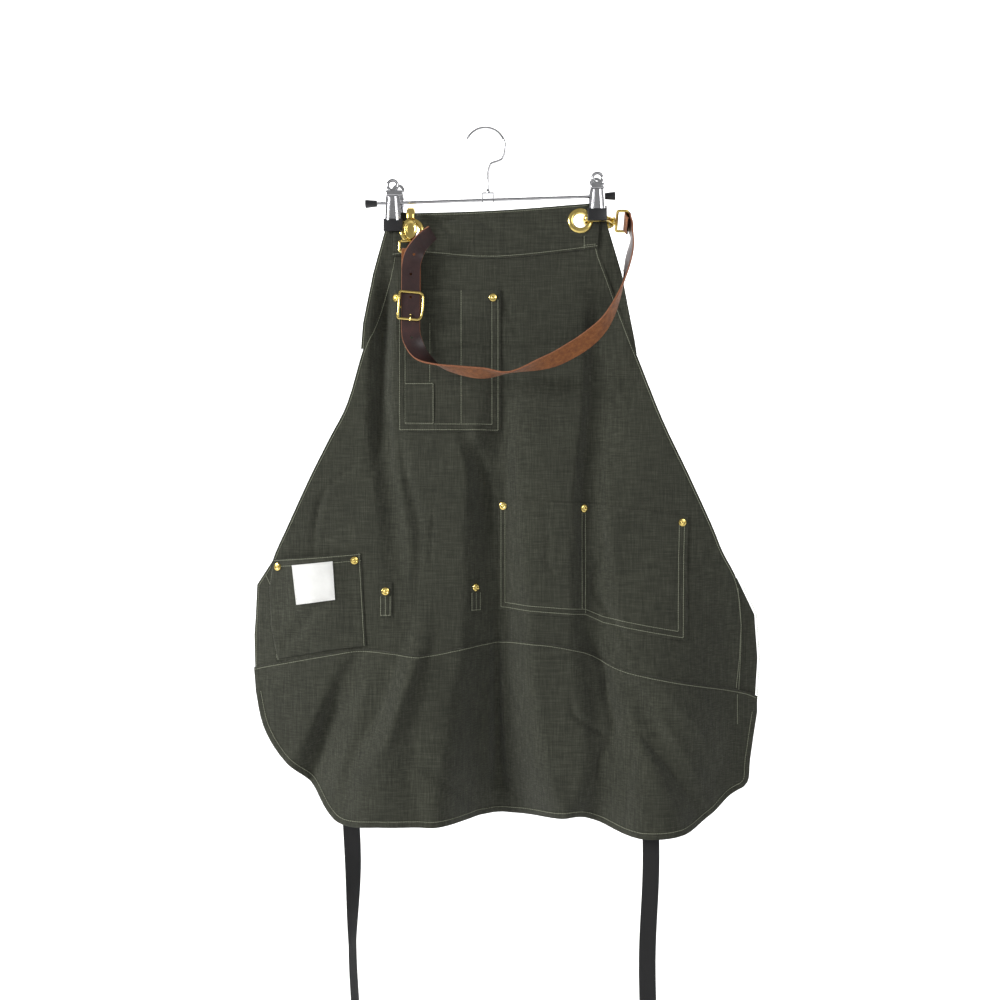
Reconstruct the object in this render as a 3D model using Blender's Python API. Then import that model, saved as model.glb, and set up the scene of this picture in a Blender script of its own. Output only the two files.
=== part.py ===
"""A canvas work apron with a leather neck strap on two snap hooks, hung on a chromed clip hanger.

Metres, +Z up, and the apron's front faces -Y. The origin is the inside top of the hanger's hook.
Outlines and folds are shares (u, v): u across, as a share of the apron's width from its middle
line, and v down, as a share of its length from its top edge.
"""

import functools
import math
from collections import namedtuple

import bmesh
import bpy
from mathutils import Matrix, Vector

# Apron
APRON_WIDTH = 0.686
APRON_LENGTH = 0.858
APRON_DROP = 0.1065  # from the hook down to the top edge
APRON_SIDE = 0.020  # the middle line lies this far right of the hook
CLOTH = 0.0012
GAP = 0.0003
LAYER = CLOTH + GAP
FOLD_DEPTH = 0.060
SIDE_CURL = 0.033
CURL_FROM = 0.1784  # the sides curl back beyond this distance from the middle line
CURL_STARTS = 0.3003  # from the top edge down to where the curl begins
CURL_FULL = 0.5577
SKIRT_STARTS = 0.0858  # from here down the bib's width gives way to the skirt's
SKIRT_FULL = 0.3861
SEAM_LAP = 0.0120  # how far the upper panel runs on behind the lower one
SEAM_CLEAR = 0.0013
FACET_ACROSS = 0.0195
FACET_DOWN = 0.036
HIP_BULGE = 0.014

# Rivets and grommets
RIVET_RADIUS = 0.0055
RIVET_HEIGHT = 0.0022
RIVET_INSET = 0.0025
GROMMET_RADIUS = 0.0170
GROMMET_BORE = 0.0192
GROMMET_BARREL = 0.0008
GROMMET_FLANGE = 0.0018
GROMMET_LIP = 0.0018
GROMMET_EDGE = 0.0020

# Hanger
HOOK_RADIUS = 0.0272
HOOK_WIRE = 0.0032
HOOK_FROM = 156.0  # degrees round the hook's arc, where its free end is
HOOK_TO = -36.0
STEM_SIDE = 0.0037
STEM_BOW = 0.0035
STEM_TOP = 0.060
STEM_FOOT = 0.0825
NUT_HEIGHT = 0.0045
NUT_RADIUS = 0.0034
NUT_TOP_RADIUS = 0.0024
BRACKET_WIDTH = 0.0165
BRACKET_HEIGHT = 0.0135
BRACKET_DEPTH = 0.0090
BRACKET_WALL = 0.0014
BAR_DROP = 0.0970
BAR_TILT = 1.87
BAR_LENGTH = 0.3190
BAR_DIAMETER = 0.0045
CAP_LENGTH = 0.0160
CAP_LAP = 0.0056  # how much of the cap sits on the bar
CAP_NARROW = 0.0042
CAP_WIDE = 0.0058
CAP_BORE = 0.0053

# Hanger clips
CLIP_ASIDE_LEFT = 0.0248  # from a grommet's middle out to its clip's middle
CLIP_ASIDE_RIGHT = 0.0222
BAR_PAST_LEFT = 0.0278  # from a clip's middle out to the bar's end
BAR_PAST_RIGHT = 0.0149
CLIP_DROP_LEFT = 0.0230  # from the bar's middle down to the pads
CLIP_DROP_RIGHT = 0.0192
CLIP_LEAN = 5.0  # degrees that the left clip's back plate has swung
PAD_WIDTH = 0.0260
PAD_HEIGHT = 0.0165
PAD_THICKNESS = 0.0047
PAD_BACKING = 0.0004  # the rubber between the cloth and the line of a plate's foot
PLATE_THICKNESS = 0.0012
PLATE_SUNK = 0.0040  # how far a plate's foot goes down into its pad
PLATE_FOOT = 0.0210
PLATE_SHOULDER = 0.0190
PLATE_WAIST = 0.0160
PLATE_STEP = 0.0010
PLATE_RING = 0.0087
PLATE_HOLE = 0.0046
PLATE_SPREAD = 0.0120  # from the bar's middle to a plate's top
PLATE_SLOPE = 0.0040  # the least that a plate leans out from foot to ring
RING_RISE = 0.0210  # from the bar up to the ring
BAND_RISE = 0.0070
BAND_HEIGHT = 0.0075
BAND_WALL = 0.0010
RUNNER_LENGTH = 0.0110
RUNNER_HEIGHT = 0.0085

# Snap hooks
SNAP_WIRE = 0.0046
SNAP_LENGTH = 0.0430  # from the collar's foot to the outside of the bend
SNAP_WIDTH = 0.0110
SNAP_LEFT_DROP = 0.0143  # from the left grommet's middle down to the collar's foot
SNAP_RIGHT_SIDE = 0.0488  # from the right grommet's middle across to the collar's foot
SNAP_RIGHT_RISE = 0.0022
SNAP_NECK_OUT = 0.0102
SNAP_COLLAR = 0.0060
SNAP_COLLAR_LENGTH = 0.0037
LEVER_WIDTH = 0.0175
LEVER_FROM = -0.0014
LEVER_TO = 0.0258
LEVER_THICKNESS = 0.0032
LEVER_DISH = 0.0016
LEVER_OUT = 0.0181
LEVER_PIVOT = 0.0040
EYE_WIRE = 0.0040
EYE_WIDTH = 0.0316
EYE_HEIGHT = 0.0140
EYE_CORNER = 0.0025
EYE_TURN = -45.0  # degrees that the right eye is swivelled

# Neck strap and buckle
STRAP_WIDTH = 0.0254
STRAP_THICKNESS = 0.0022
STRAP_SAG = 0.117
STRAP_BOW = 0.026
STRAP_TAIL = 0.100
STRAP_LIFT = 0.0085  # how far the tail's tip stands off the strap below it
STRAP_LOOP = 0.020  # the length sewn back round the right eye
LOOP_SLACK = 0.0015
BUCKLE_WIDTH = 0.0320
BUCKLE_HEIGHT = 0.0365
BUCKLE_CORNER = 0.0060
BUCKLE_BOW = 0.0008
BUCKLE_WIRE = 0.0035
BUCKLE_BAR = 0.0032
BUCKLE_EAR = 0.0010
BUCKLE_DROP = 0.0746  # from the left eye's far bar down to the buckle's middle bar
BUCKLE_TURN = -5.0
TURN_RISE = 0.0060  # where the short strap starts to round a bar
TONGUE = 0.0026
TONGUE_DROP = 0.0130  # from the buckle's middle bar down to the tongue's hole
TONGUE_RISE = 0.0018
TONGUE_STEP = 0.0036
STRAP_HOLE = 0.0036
HOLE_PITCH = 0.0278
HOLE_START = 0.0148
HOLES = (-1, 1, 2, 3)  # the holes left open, counted up from the buckle's middle bar

# Waist ties
TIE_WIDTH = 0.0230
TIE_THICKNESS = 0.0015
TIE_RISE = 0.356  # how far above the hem a tie is sewn to the apron's back
TIE_END = 1.215  # from the hook down to the ties' ends
TIE_TWIST = 72.0
TIE_STEP = 0.020

Fold = namedtuple("Fold", "u v half_width depth")
Tie = namedtuple("Tie", "side u hem twist drift")
Clip = namedtuple("Clip", "side x drop front back_lean")
Station = namedtuple("Station", "centre across width thickness")
Run = namedtuple("Run", "across sag bow face")
Tail = namedtuple("Tail", "aside lift up face")
Arm = namedtuple("Arm", "along out width")

# Valleys have a positive depth, a share of FOLD_DEPTH, and ridges a negative one
FOLDS = {
    "central": (
        Fold(0.000, 0.147, 0.052, 0.00),
        Fold(0.004, 0.290, 0.048, 0.12),
        Fold(-0.004, 0.353, 0.048, 0.20),
        Fold(-0.014, 0.422, 0.059, 0.34),
        Fold(-0.006, 0.686, 0.075, 0.50),
        Fold(-0.010, 0.769, 0.091, 0.62),
        Fold(-0.006, 0.897, 0.115, 0.80),
        Fold(0.004, 0.988, 0.143, 1.00),
    ),
    "central_crease": (
        Fold(-0.004, 0.623, 0.016, 0.00),
        Fold(-0.008, 0.702, 0.016, 0.12),
        Fold(-0.006, 0.884, 0.020, 0.20),
        Fold(0.000, 0.940, 0.028, 0.06),
    ),
    "right": (
        Fold(0.198, 0.087, 0.036, 0.00),
        Fold(0.194, 0.238, 0.034, 0.20),
        Fold(0.188, 0.342, 0.034, 0.24),
        Fold(0.178, 0.449, 0.038, 0.27),
        Fold(0.192, 0.678, 0.059, 0.28),
        Fold(0.222, 0.877, 0.059, 0.22),
        Fold(0.194, 0.988, 0.087, 0.40),
    ),
    "left": (
        Fold(-0.222, 0.087, 0.022, 0.00),
        Fold(-0.232, 0.195, 0.026, 0.14),
        Fold(-0.236, 0.290, 0.030, 0.18),
        Fold(-0.228, 0.396, 0.032, 0.17),
        Fold(-0.188, 0.686, 0.032, 0.00),
    ),
    "vee": (
        Fold(-0.083, 0.330, 0.020, 0.00),
        Fold(-0.040, 0.422, 0.030, 0.16),
        Fold(-0.026, 0.504, 0.030, 0.08),
        Fold(-0.020, 0.560, 0.028, 0.00),
    ),
    "lower_left": (
        Fold(-0.262, 0.686, 0.028, 0.00),
        Fold(-0.327, 0.813, 0.048, 0.22),
        Fold(-0.373, 0.905, 0.063, 0.30),
        Fold(-0.397, 0.972, 0.071, 0.30),
    ),
    "ridge": (
        Fold(-0.139, 0.623, 0.028, 0.00),
        Fold(-0.192, 0.778, 0.044, -0.18),
        Fold(-0.234, 0.877, 0.067, -0.30),
        Fold(-0.248, 0.988, 0.099, -0.42),
    ),
    "lobe_left": (
        Fold(-0.139, 0.686, 0.099, 0.00),
        Fold(-0.135, 0.892, 0.123, -0.32),
        Fold(-0.131, 0.988, 0.119, -0.45),
    ),
    "lobe_right": (
        Fold(0.327, 0.560, 0.119, 0.00),
        Fold(0.327, 0.813, 0.147, -0.38),
        Fold(0.317, 1.003, 0.131, -0.70),
    ),
    "lower_right": (
        Fold(0.234, 0.718, 0.024, 0.00),
        Fold(0.317, 0.853, 0.040, 0.18),
        Fold(0.407, 0.988, 0.048, 0.10),
    ),
}

# Edges that two pieces share, from the apron's top downwards or from left to right
LEFT_EDGE = (
    (-0.212, 0.008),
    (-0.212, 0.079),
    (-0.233, 0.142),
    (-0.252, 0.190),
    (-0.272, 0.227),
    (-0.303, 0.311),
    (-0.337, 0.365),
    (-0.377, 0.428),
    (-0.422, 0.504),
    (-0.455, 0.561),
    (-0.466, 0.609),
    (-0.463, 0.666),
    (-0.450, 0.722),
)
RIGHT_EDGE = (
    (0.198, -0.005),
    (0.198, 0.024),
    (0.194, 0.065),
    (0.218, 0.120),
    (0.258, 0.206),
    (0.272, 0.235),
    (0.323, 0.338),
    (0.377, 0.428),
    (0.422, 0.504),
    (0.446, 0.548),
    (0.479, 0.598),
    (0.492, 0.667),
    (0.487, 0.771),
)
TOP_EDGE = ((-0.165, 0.010), (-0.006, 0.006), (0.174, -0.005))
SEAM = (
    (-0.498, 0.735),
    (-0.457, 0.727),
    (-0.338, 0.708),
    (-0.268, 0.701),
    (-0.158, 0.709),
    (-0.073, 0.698),
    (-0.006, 0.692),
    (0.079, 0.691),
    (0.170, 0.705),
    (0.233, 0.730),
    (0.320, 0.744),
    (0.481, 0.771),
    (0.523, 0.783),
)
HEM = (
    (0.523, 0.809),
    (0.507, 0.883),
    (0.500, 0.921),
    (0.463, 0.939),
    (0.419, 0.967),
    (0.372, 0.984),
    (0.303, 0.989),
    (0.241, 0.990),
    (0.192, 0.979),
    (0.154, 0.970),
    (0.094, 0.973),
    (0.000, 0.979),
    (-0.123, 0.976),
    (-0.240, 0.975),
    (-0.310, 0.977),
    (-0.345, 0.960),
    (-0.383, 0.919),
    (-0.442, 0.874),
    (-0.478, 0.828),
    (-0.494, 0.774),
)
FACINGS = {
    "side_facing_left": (
        (-0.226, 0.011),
        (-0.228, 0.036),
        (-0.252, 0.105),
        (-0.272, 0.184),
        (-0.276, 0.225),
        (-0.247, 0.219),
        (-0.226, 0.180),
        (-0.205, 0.140),
        (-0.203, 0.012),
    ),
    "side_facing_right": (
        (0.212, -0.003),
        (0.188, -0.003),
        (0.186, 0.065),
        (0.196, 0.120),
        (0.230, 0.206),
        (0.246, 0.232),
        (0.272, 0.233),
        (0.268, 0.211),
        (0.242, 0.105),
        (0.212, 0.025),
    ),
    "skirt_facing_left": (
        (-0.455, 0.561),
        (-0.490, 0.601),
        (-0.498, 0.683),
        (-0.496, 0.743),
        (-0.420, 0.733),
        (-0.420, 0.665),
        (-0.424, 0.608),
        (-0.419, 0.576),
    ),
    "skirt_facing_right": (
        (0.477, 0.590),
        (0.441, 0.601),
        (0.450, 0.665),
        (0.450, 0.721),
        (0.445, 0.785),
        (0.519, 0.793),
        (0.525, 0.722),
        (0.518, 0.651),
    ),
}
BAND_EDGE = ((-0.006, 0.082), (-0.149, 0.075))
BIB_POCKET = ((-0.210, 0.131), (0.002, 0.132), (0.002, 0.356), (-0.201, 0.356))
PENCIL_POCKET = ((-0.188, 0.279), (-0.131, 0.279), (-0.131, 0.344), (-0.188, 0.344))
THIGH_POCKET = (
    (-0.004, 0.464),
    (0.172, 0.469),
    (0.374, 0.490),
    (0.371, 0.688),
    (0.206, 0.666),
    (0.170, 0.652),
    (-0.004, 0.642),
)
HIP_POCKET = (
    (-0.452, 0.561),
    (-0.276, 0.550),
    (-0.266, 0.697),
    (-0.338, 0.704),
    (-0.446, 0.721),
    (-0.461, 0.666),
    (-0.463, 0.609),
)
HIP_MOUTH = (-0.364, 0.094, 0.540, 0.710)  # middle, half width, top and bottom of its bulge
LABEL = ((-0.413, 0.568), (-0.330, 0.561), (-0.326, 0.622), (-0.405, 0.631))
TOOL_LOOPS = {
    "tool_loop_left": ((-0.240, 0.595), (-0.214, 0.595), (-0.214, 0.650), (-0.240, 0.650)),
    "tool_loop_right": ((-0.059, 0.590), (-0.036, 0.591), (-0.036, 0.644), (-0.058, 0.643)),
}
RIVETS = {
    "rivet_bib_left": (-0.206, 0.144),
    "rivet_bib_right": (-0.014, 0.144),
    "rivet_thigh_left": (0.006, 0.474),
    "rivet_thigh_middle": (0.168, 0.478),
    "rivet_thigh_right": (0.362, 0.500),
    "rivet_hip_left": (-0.444, 0.571),
    "rivet_hip_right": (-0.288, 0.560),
    "rivet_loop_left": (-0.227, 0.609),
    "rivet_loop_right": (-0.048, 0.604),
}
GROMMETS = {"left": (-0.175, 0.038), "right": (0.159, 0.022)}

# Each tie's place, where it leaves the hem, its twist and its drift as a share of its width
TIES = (Tie("left", -0.299, 0.975, TIE_TWIST, 0.26), Tie("right", 0.299, 0.975, 0.0, -0.17))
RECTANGLE = ((-0.5, -0.5), (0.5, -0.5), (0.5, 0.5), (-0.5, 0.5))
OVAL = tuple(
    (0.5 * math.cos(math.radians(22.5 + 45 * k)), 0.5 * math.sin(math.radians(22.5 + 45 * k)))
    for k in range(8)
)
# The snap hook's arm, from its collar round behind the cloth and over to its nose, as shares
# of the hook's length, of its lever's stand-off and of its width
SNAP_ARM = (
    Arm(0.070, 0.525, 0.727),
    Arm(0.160, 0.276, 0.636),
    Arm(0.212, 0.000, 0.636),
    Arm(0.290, -0.232, 0.636),
    Arm(0.407, -0.354, 0.818),
    Arm(0.628, -0.354, 0.909),
    Arm(0.872, -0.354, 0.864),
    Arm(0.960, -0.298, 0.800),
    Arm(0.995, -0.099, 0.782),
    Arm(1.000, 0.193, 0.800),
    Arm(0.977, 0.552, 0.909),
    Arm(0.895, 0.856, 1.000),
    Arm(0.767, 1.000, 1.000),
    Arm(0.633, 1.000, 1.000),
)
# The strap's tail from its tip down past the buckle, as shares of its width, lift and length
STRAP_TIP = (
    Tail(1.177, 1.00, 0.969, (0.39, 0.80, -0.46)),
    Tail(0.799, 1.00, 0.892, (0.46, 0.70, -0.54)),
    Tail(0.437, 0.95, 0.788, (0.63, 0.62, -0.45)),
    Tail(0.190, 0.72, 0.680, (0.87, 0.33, -0.36)),
    Tail(0.045, 0.38, 0.560, (0.98, 0.10, -0.15)),
    Tail(0.000, 0.00, 0.340, (1.00, 0.00, 0.00)),
    Tail(0.000, 0.00, 0.000, (1.00, 0.00, 0.00)),
    Tail(0.000, 0.00, -0.340, (1.00, 0.00, 0.00)),
)
# The strap's free run from the buckle to the right eye; face is the way its width lies
STRAP_RUN = (
    Run(0.012, 0.09, 0.02, (0.98, 0.18, 0.10)),
    Run(0.045, 0.27, 0.14, (0.68, 0.60, 0.42)),
    Run(0.122, 0.49, 0.34, (0.28, 0.92, 0.00)),
    Run(0.230, 0.69, 0.55, (0.05, 0.90, -0.35)),
    Run(0.330, 0.84, 0.70, (0.02, 0.88, -0.42)),
    Run(0.447, 0.97, 0.82, (0.02, 0.99, 0.08)),
    Run(0.600, 1.05, 0.95, (0.20, 0.80, -0.50)),
    Run(0.687, 1.06, 1.00, (0.36, 0.66, -0.66)),
    Run(0.800, 1.01, 1.00, (0.46, 0.62, -0.62)),
    Run(0.884, 0.88, 0.92, (0.40, 0.84, -0.30)),
    Run(0.948, 0.60, 0.70, (0.10, 0.98, -0.05)),
    Run(0.984, 0.26, 0.42, (-0.25, 0.94, -0.10)),
)


def clear_scene():
    for obj in list(bpy.data.objects):
        bpy.data.objects.remove(obj)


def parts_collection():
    collection = bpy.data.collections.new("work_apron")
    bpy.context.scene.collection.children.link(collection)
    return collection


def material(name, colour, roughness, metallic=0.0):
    """One plain surface for one object."""
    made = bpy.data.materials.new(name)
    made.use_nodes = True
    shader = made.node_tree.nodes["Principled BSDF"]
    shader.inputs["Base Color"].default_value = (*colour, 1.0)
    shader.inputs["Roughness"].default_value = roughness
    shader.inputs["Metallic"].default_value = metallic
    return made


FINISHES = {
    "canvas": ((0.052, 0.054, 0.038), 0.95, 0.0),
    "leather": ((0.055, 0.022, 0.016), 0.55, 0.0),
    "webbing": ((0.010, 0.010, 0.011), 0.9, 0.0),
    "brass": ((0.80, 0.62, 0.28), 0.25, 1.0),
    "chrome": ((0.80, 0.80, 0.82), 0.12, 1.0),
    "rubber": ((0.012, 0.012, 0.013), 0.6, 0.0),
    "label": ((0.85, 0.85, 0.82), 0.9, 0.0),
}


def finish(obj, name, kind):
    """Names the object and gives it its own material, in the collection of parts."""
    obj.name = name
    obj.data.name = name
    obj.data.materials.clear()
    obj.data.materials.append(material(name, *FINISHES[kind]))
    for collection in list(obj.users_collection):
        collection.objects.unlink(obj)
    bpy.data.collections["work_apron"].objects.link(obj)
    return obj


def new_object(data):
    obj = bpy.data.objects.new(data.name, data)
    bpy.context.scene.collection.objects.link(obj)
    return obj


def frozen(obj):
    """The object as a plain closed mesh in world space, with its modifiers and caps joined in."""
    depsgraph = bpy.context.evaluated_depsgraph_get()
    mesh = bpy.data.meshes.new_from_object(obj.evaluated_get(depsgraph))
    mesh.transform(obj.matrix_world)
    bm = bmesh.new()
    bm.from_mesh(mesh)
    bmesh.ops.remove_doubles(bm, verts=bm.verts, dist=0.00002)
    bmesh.ops.recalc_face_normals(bm, faces=bm.faces)
    bm.to_mesh(mesh)
    bm.free()
    bpy.data.objects.remove(obj)
    return new_object(mesh)


def combine(obj, other, operation):
    """The first object with the second cut from it, joined to it or kept in common."""
    modifier = obj.modifiers.new(operation, "BOOLEAN")
    modifier.operation = operation
    modifier.solver = "EXACT"
    modifier.object = other
    result = frozen(obj)
    bpy.data.objects.remove(other)
    return result


def slab(loops, thickness):
    """Flat outlines in X and Z, with holes, of a thickness along Y and centred on Y zero."""
    curve = bpy.data.curves.new("slab", "CURVE")
    curve.dimensions = "2D"
    curve.fill_mode = "BOTH"
    curve.extrude = thickness / 2
    for loop in loops:
        spline = curve.splines.new("POLY")
        spline.points.add(len(loop) - 1)
        spline.use_cyclic_u = True
        for point, (x, z) in zip(spline.points, loop):
            point.co = (x, z, 0, 1)
    obj = new_object(curve)
    obj.rotation_euler = (math.pi / 2, 0, 0)
    bpy.context.view_layer.update()
    return frozen(obj)


def cylinder(start, end, radius, far_radius=None, sides=20):
    """A cylinder or cone between two points."""
    axis = Vector(end) - Vector(start)
    bm = bmesh.new()
    bmesh.ops.create_cone(
        bm,
        cap_ends=True,
        segments=sides,
        radius1=radius,
        radius2=radius if far_radius is None else far_radius,
        depth=axis.length,
    )
    turn = axis.to_track_quat("Z", "Y").to_matrix().to_4x4()
    middle = Matrix.Translation((Vector(start) + Vector(end)) / 2)
    bm.transform(middle @ turn)
    mesh = bpy.data.meshes.new("cylinder")
    bm.to_mesh(mesh)
    bm.free()
    return new_object(mesh)


def block(low, high):
    """A box between two corners."""
    bm = bmesh.new()
    bmesh.ops.create_cube(bm, size=1.0)
    size = Vector(high) - Vector(low)
    bmesh.ops.scale(bm, verts=bm.verts, vec=size)
    bmesh.ops.translate(bm, verts=bm.verts, vec=(Vector(high) + Vector(low)) / 2)
    mesh = bpy.data.meshes.new("block")
    bm.to_mesh(mesh)
    bm.free()
    return new_object(mesh)


def wire(points, diameter, closed=False, resolution=2):
    """A round wire through the points."""
    curve = bpy.data.curves.new("wire", "CURVE")
    curve.dimensions = "3D"
    curve.bevel_depth = diameter / 2
    curve.bevel_resolution = resolution
    curve.use_fill_caps = True
    spline = curve.splines.new("POLY")
    spline.points.add(len(points) - 1)
    spline.use_cyclic_u = closed
    for point, place in zip(spline.points, points):
        point.co = (*place, 1)
    return frozen(new_object(curve))


def turned(profile, sides=20):
    """A closed ring round Z from its section, given as (radius, height) points in order."""
    bm = bmesh.new()
    rings = []
    for k in range(sides):
        angle = 2 * math.pi * k / sides
        ring = [bm.verts.new((r * math.cos(angle), r * math.sin(angle), h)) for r, h in profile]
        rings.append(ring)
    for k in range(sides):
        ring = rings[k]
        following = rings[(k + 1) % sides]
        for i in range(len(profile)):
            j = (i + 1) % len(profile)
            bm.faces.new((ring[i], following[i], following[j], ring[j]))
    bmesh.ops.recalc_face_normals(bm, faces=bm.faces)
    mesh = bpy.data.meshes.new("turned")
    bm.to_mesh(mesh)
    bm.free()
    return new_object(mesh)


def through(points, steps):
    """A smooth line through the points, with that many steps between neighbours."""
    line = []
    for i in range(len(points) - 1):
        before = Vector(points[max(i - 1, 0)])
        start = Vector(points[i])
        end = Vector(points[i + 1])
        after = Vector(points[min(i + 2, len(points) - 1)])
        for k in range(steps):
            t = k / steps
            bend = (2 * before - 5 * start + 4 * end - after) * t * t
            swing = (3 * start - before - 3 * end + after) * t * t * t
            line.append(start + ((end - before) * t + bend + swing) / 2)
    line.append(Vector(points[-1]))
    return line


def loft(stations, profile):
    """A solid swept through the stations, its section turned to each station's width."""
    bm = bmesh.new()
    rings = []
    for i, station in enumerate(stations):
        ahead = stations[min(i + 1, len(stations) - 1)].centre
        behind = stations[max(i - 1, 0)].centre
        tangent = (ahead - behind).normalized()
        across = (station.across - tangent * station.across.dot(tangent)).normalized()
        out = tangent.cross(across)
        ring = []
        for a, b in profile:
            offset = across * a * station.width + out * b * station.thickness
            ring.append(bm.verts.new(station.centre + offset))
        rings.append(ring)
    count = len(profile)
    for first, second in zip(rings, rings[1:]):
        for i in range(count):
            j = (i + 1) % count
            bm.faces.new((first[i], first[j], second[j], second[i]))
    bm.faces.new(rings[0])
    bm.faces.new(rings[-1])
    bmesh.ops.recalc_face_normals(bm, faces=bm.faces)
    mesh = bpy.data.meshes.new("loft")
    bm.to_mesh(mesh)
    bm.free()
    return new_object(mesh)


def bar_reach():
    return BAR_LENGTH * math.cos(math.radians(BAR_TILT))


def bib_width():
    """The width that u counts on the bib, whose corners hang in the clips near the bar's ends."""
    aside = CLIP_ASIDE_LEFT + CLIP_ASIDE_RIGHT + BAR_PAST_LEFT + BAR_PAST_RIGHT
    return (bar_reach() - aside) / (GROMMETS["right"][0] - GROMMETS["left"][0])


def width_at(v):
    """The width that u counts at a height: the bib's above, the apron's own on the skirt."""
    share = (v * APRON_LENGTH - SKIRT_STARTS) / (SKIRT_FULL - SKIRT_STARTS)
    return bib_width() + (APRON_WIDTH - bib_width()) * min(1.0, max(0.0, share))


def x_at(u, v):
    return APRON_SIDE + u * width_at(v)


def z_at(v):
    return -APRON_DROP - v * APRON_LENGTH


def bell(t):
    return (1 - t * t) ** 2 if abs(t) < 1 else 0.0


def fold_at(rows, v):
    """A fold's middle, half width and depth at one height, or nothing beyond its ends."""
    for start, end in zip(rows, rows[1:]):
        if start.v <= v <= end.v:
            share = (v - start.v) / (end.v - start.v)
            return [a + (b - a) * share for a, b in zip(start, end)]
    return None


def drape(u, v):
    """How far back the main cloth's front face lies at a place on the apron."""
    depth = 0.0
    for rows in FOLDS.values():
        row = fold_at(rows, min(v, rows[-1].v) if rows[-1].depth else v)
        if row:
            depth += row[3] * bell((u - row[0]) / row[2])
    beyond = max(0.0, abs(u) * APRON_WIDTH - CURL_FROM) / (APRON_WIDTH / 2 - CURL_FROM)
    lower = min(1.0, max(0.0, (v * APRON_LENGTH - CURL_STARTS) / (CURL_FULL - CURL_STARTS)))
    return depth * FOLD_DEPTH + SIDE_CURL * beyond * beyond * lower


def hip_bulge(u, v):
    """How far the hip pocket stands off the apron, most at its mouth."""
    middle, half_width, top, bottom = HIP_MOUTH
    lower = min(1.0, max(0.0, (bottom - v) / (bottom - top)))
    return HIP_BULGE * bell((u - middle) / half_width) * lower


def flat(u, v):
    return 0.0


@functools.lru_cache(maxsize=None)
def node_depth(column, row, bulge):
    """The cloth's depth at a corner of its facets."""
    v = row * FACET_DOWN / APRON_LENGTH
    u = column * FACET_ACROSS / width_at(v)
    return drape(u, v) - bulge(u, v)


def facet_depth(x, z, bulge=flat):
    """The cloth's depth anywhere, on its flat facets."""
    across = (x - APRON_SIDE) / FACET_ACROSS
    down = (-APRON_DROP - z) / FACET_DOWN
    column = math.floor(across)
    row = math.floor(down)
    s = across - column
    t = down - row
    near = node_depth(column, row, bulge)
    far = node_depth(column + 1, row + 1, bulge)
    if s >= t:
        side = node_depth(column + 1, row, bulge)
        return near + s * (side - near) + t * (far - side)
    side = node_depth(column, row + 1, bulge)
    return near + t * (side - near) + s * (far - side)


def sheet(outline, layer, bulge):
    """A rectangle of draped cloth that covers the outline, of one thickness, in one layer."""
    columns = [math.floor(u * width_at(v) / FACET_ACROSS) for u, v in outline]
    rows = [math.floor(v * APRON_LENGTH / FACET_DOWN) for u, v in outline]
    columns = range(min(columns) - 1, max(columns) + 3)
    rows = range(min(rows) - 1, max(rows) + 3)
    bm = bmesh.new()
    front = {}
    back = {}
    for i in columns:
        for j in rows:
            x = APRON_SIDE + i * FACET_ACROSS
            z = -APRON_DROP - j * FACET_DOWN
            y = node_depth(i, j, bulge) - layer * LAYER
            front[i, j] = bm.verts.new((x, y, z))
            back[i, j] = bm.verts.new((x, y + CLOTH, z))
    for side in (front, back):
        for i in columns[:-1]:
            for j in rows[:-1]:
                near = side[i, j]
                far = side[i + 1, j + 1]
                bm.faces.new((near, side[i + 1, j], far))
                bm.faces.new((near, far, side[i, j + 1]))
    rim = [(i, rows[0]) for i in columns]
    rim += [(columns[-1], j) for j in rows[1:]]
    rim += [(i, rows[-1]) for i in reversed(columns[:-1])]
    rim += [(columns[0], j) for j in reversed(rows[1:-1])]
    for a, b in zip(rim, rim[1:] + rim[:1]):
        bm.faces.new((front[a], front[b], back[b], back[a]))
    bmesh.ops.recalc_face_normals(bm, faces=bm.faces)
    mesh = bpy.data.meshes.new("sheet")
    bm.to_mesh(mesh)
    bm.free()
    return new_object(mesh)


def cloth_piece(name, outline, layer, kind="canvas", bulge=flat, holes=()):
    """A sewn piece: the draped sheet of its layer, cut to its outline and punched."""
    loops = [[(x_at(u, v), z_at(v)) for u, v in outline]]
    piece = combine(sheet(outline, layer, bulge), slab(loops, 4 * APRON_WIDTH), "INTERSECT")
    reach = Vector((0, APRON_WIDTH, 0))
    radius = GROMMET_BORE / 2 + GROMMET_BARREL + GAP
    for u, v in holes:
        middle = Vector((x_at(u, v), 0, z_at(v)))
        piece = combine(piece, cylinder(middle - reach, middle + reach, radius), "DIFFERENCE")
    return finish(piece, name, kind)


def lowered(line, drop):
    return tuple((u, v + drop) for u, v in line)


def between(line, left, right):
    return tuple(point for point in line if left < point[0] < right)


def pairs(line):
    return tuple((point[0], point[1]) for point in line)


def smooth_edge(points, steps=2):
    return pairs(through([(u, v, 0) for u, v in points], steps))


def apron_panels():
    left = smooth_edge(LEFT_EDGE)
    right = smooth_edge(RIGHT_EDGE)
    foot = between(lowered(SEAM, SEAM_LAP / APRON_LENGTH), left[-1][0], right[-1][0])
    upper = TOP_EDGE + right + tuple(reversed(foot)) + tuple(reversed(left))
    holes = tuple(GROMMETS.values())
    cloth_piece("main_panel", upper, 0, holes=holes)
    lower = SEAM + smooth_edge(HEM)
    cloth_piece("lower_panel", lower, 1)
    band = TOP_EDGE + RIGHT_EDGE[:3] + BAND_EDGE + tuple(reversed(LEFT_EDGE[:2]))
    cloth_piece("bib_top_band", band, 1, holes=holes)
    for name, outline in FACINGS.items():
        cloth_piece(name, outline, -1)


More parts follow.
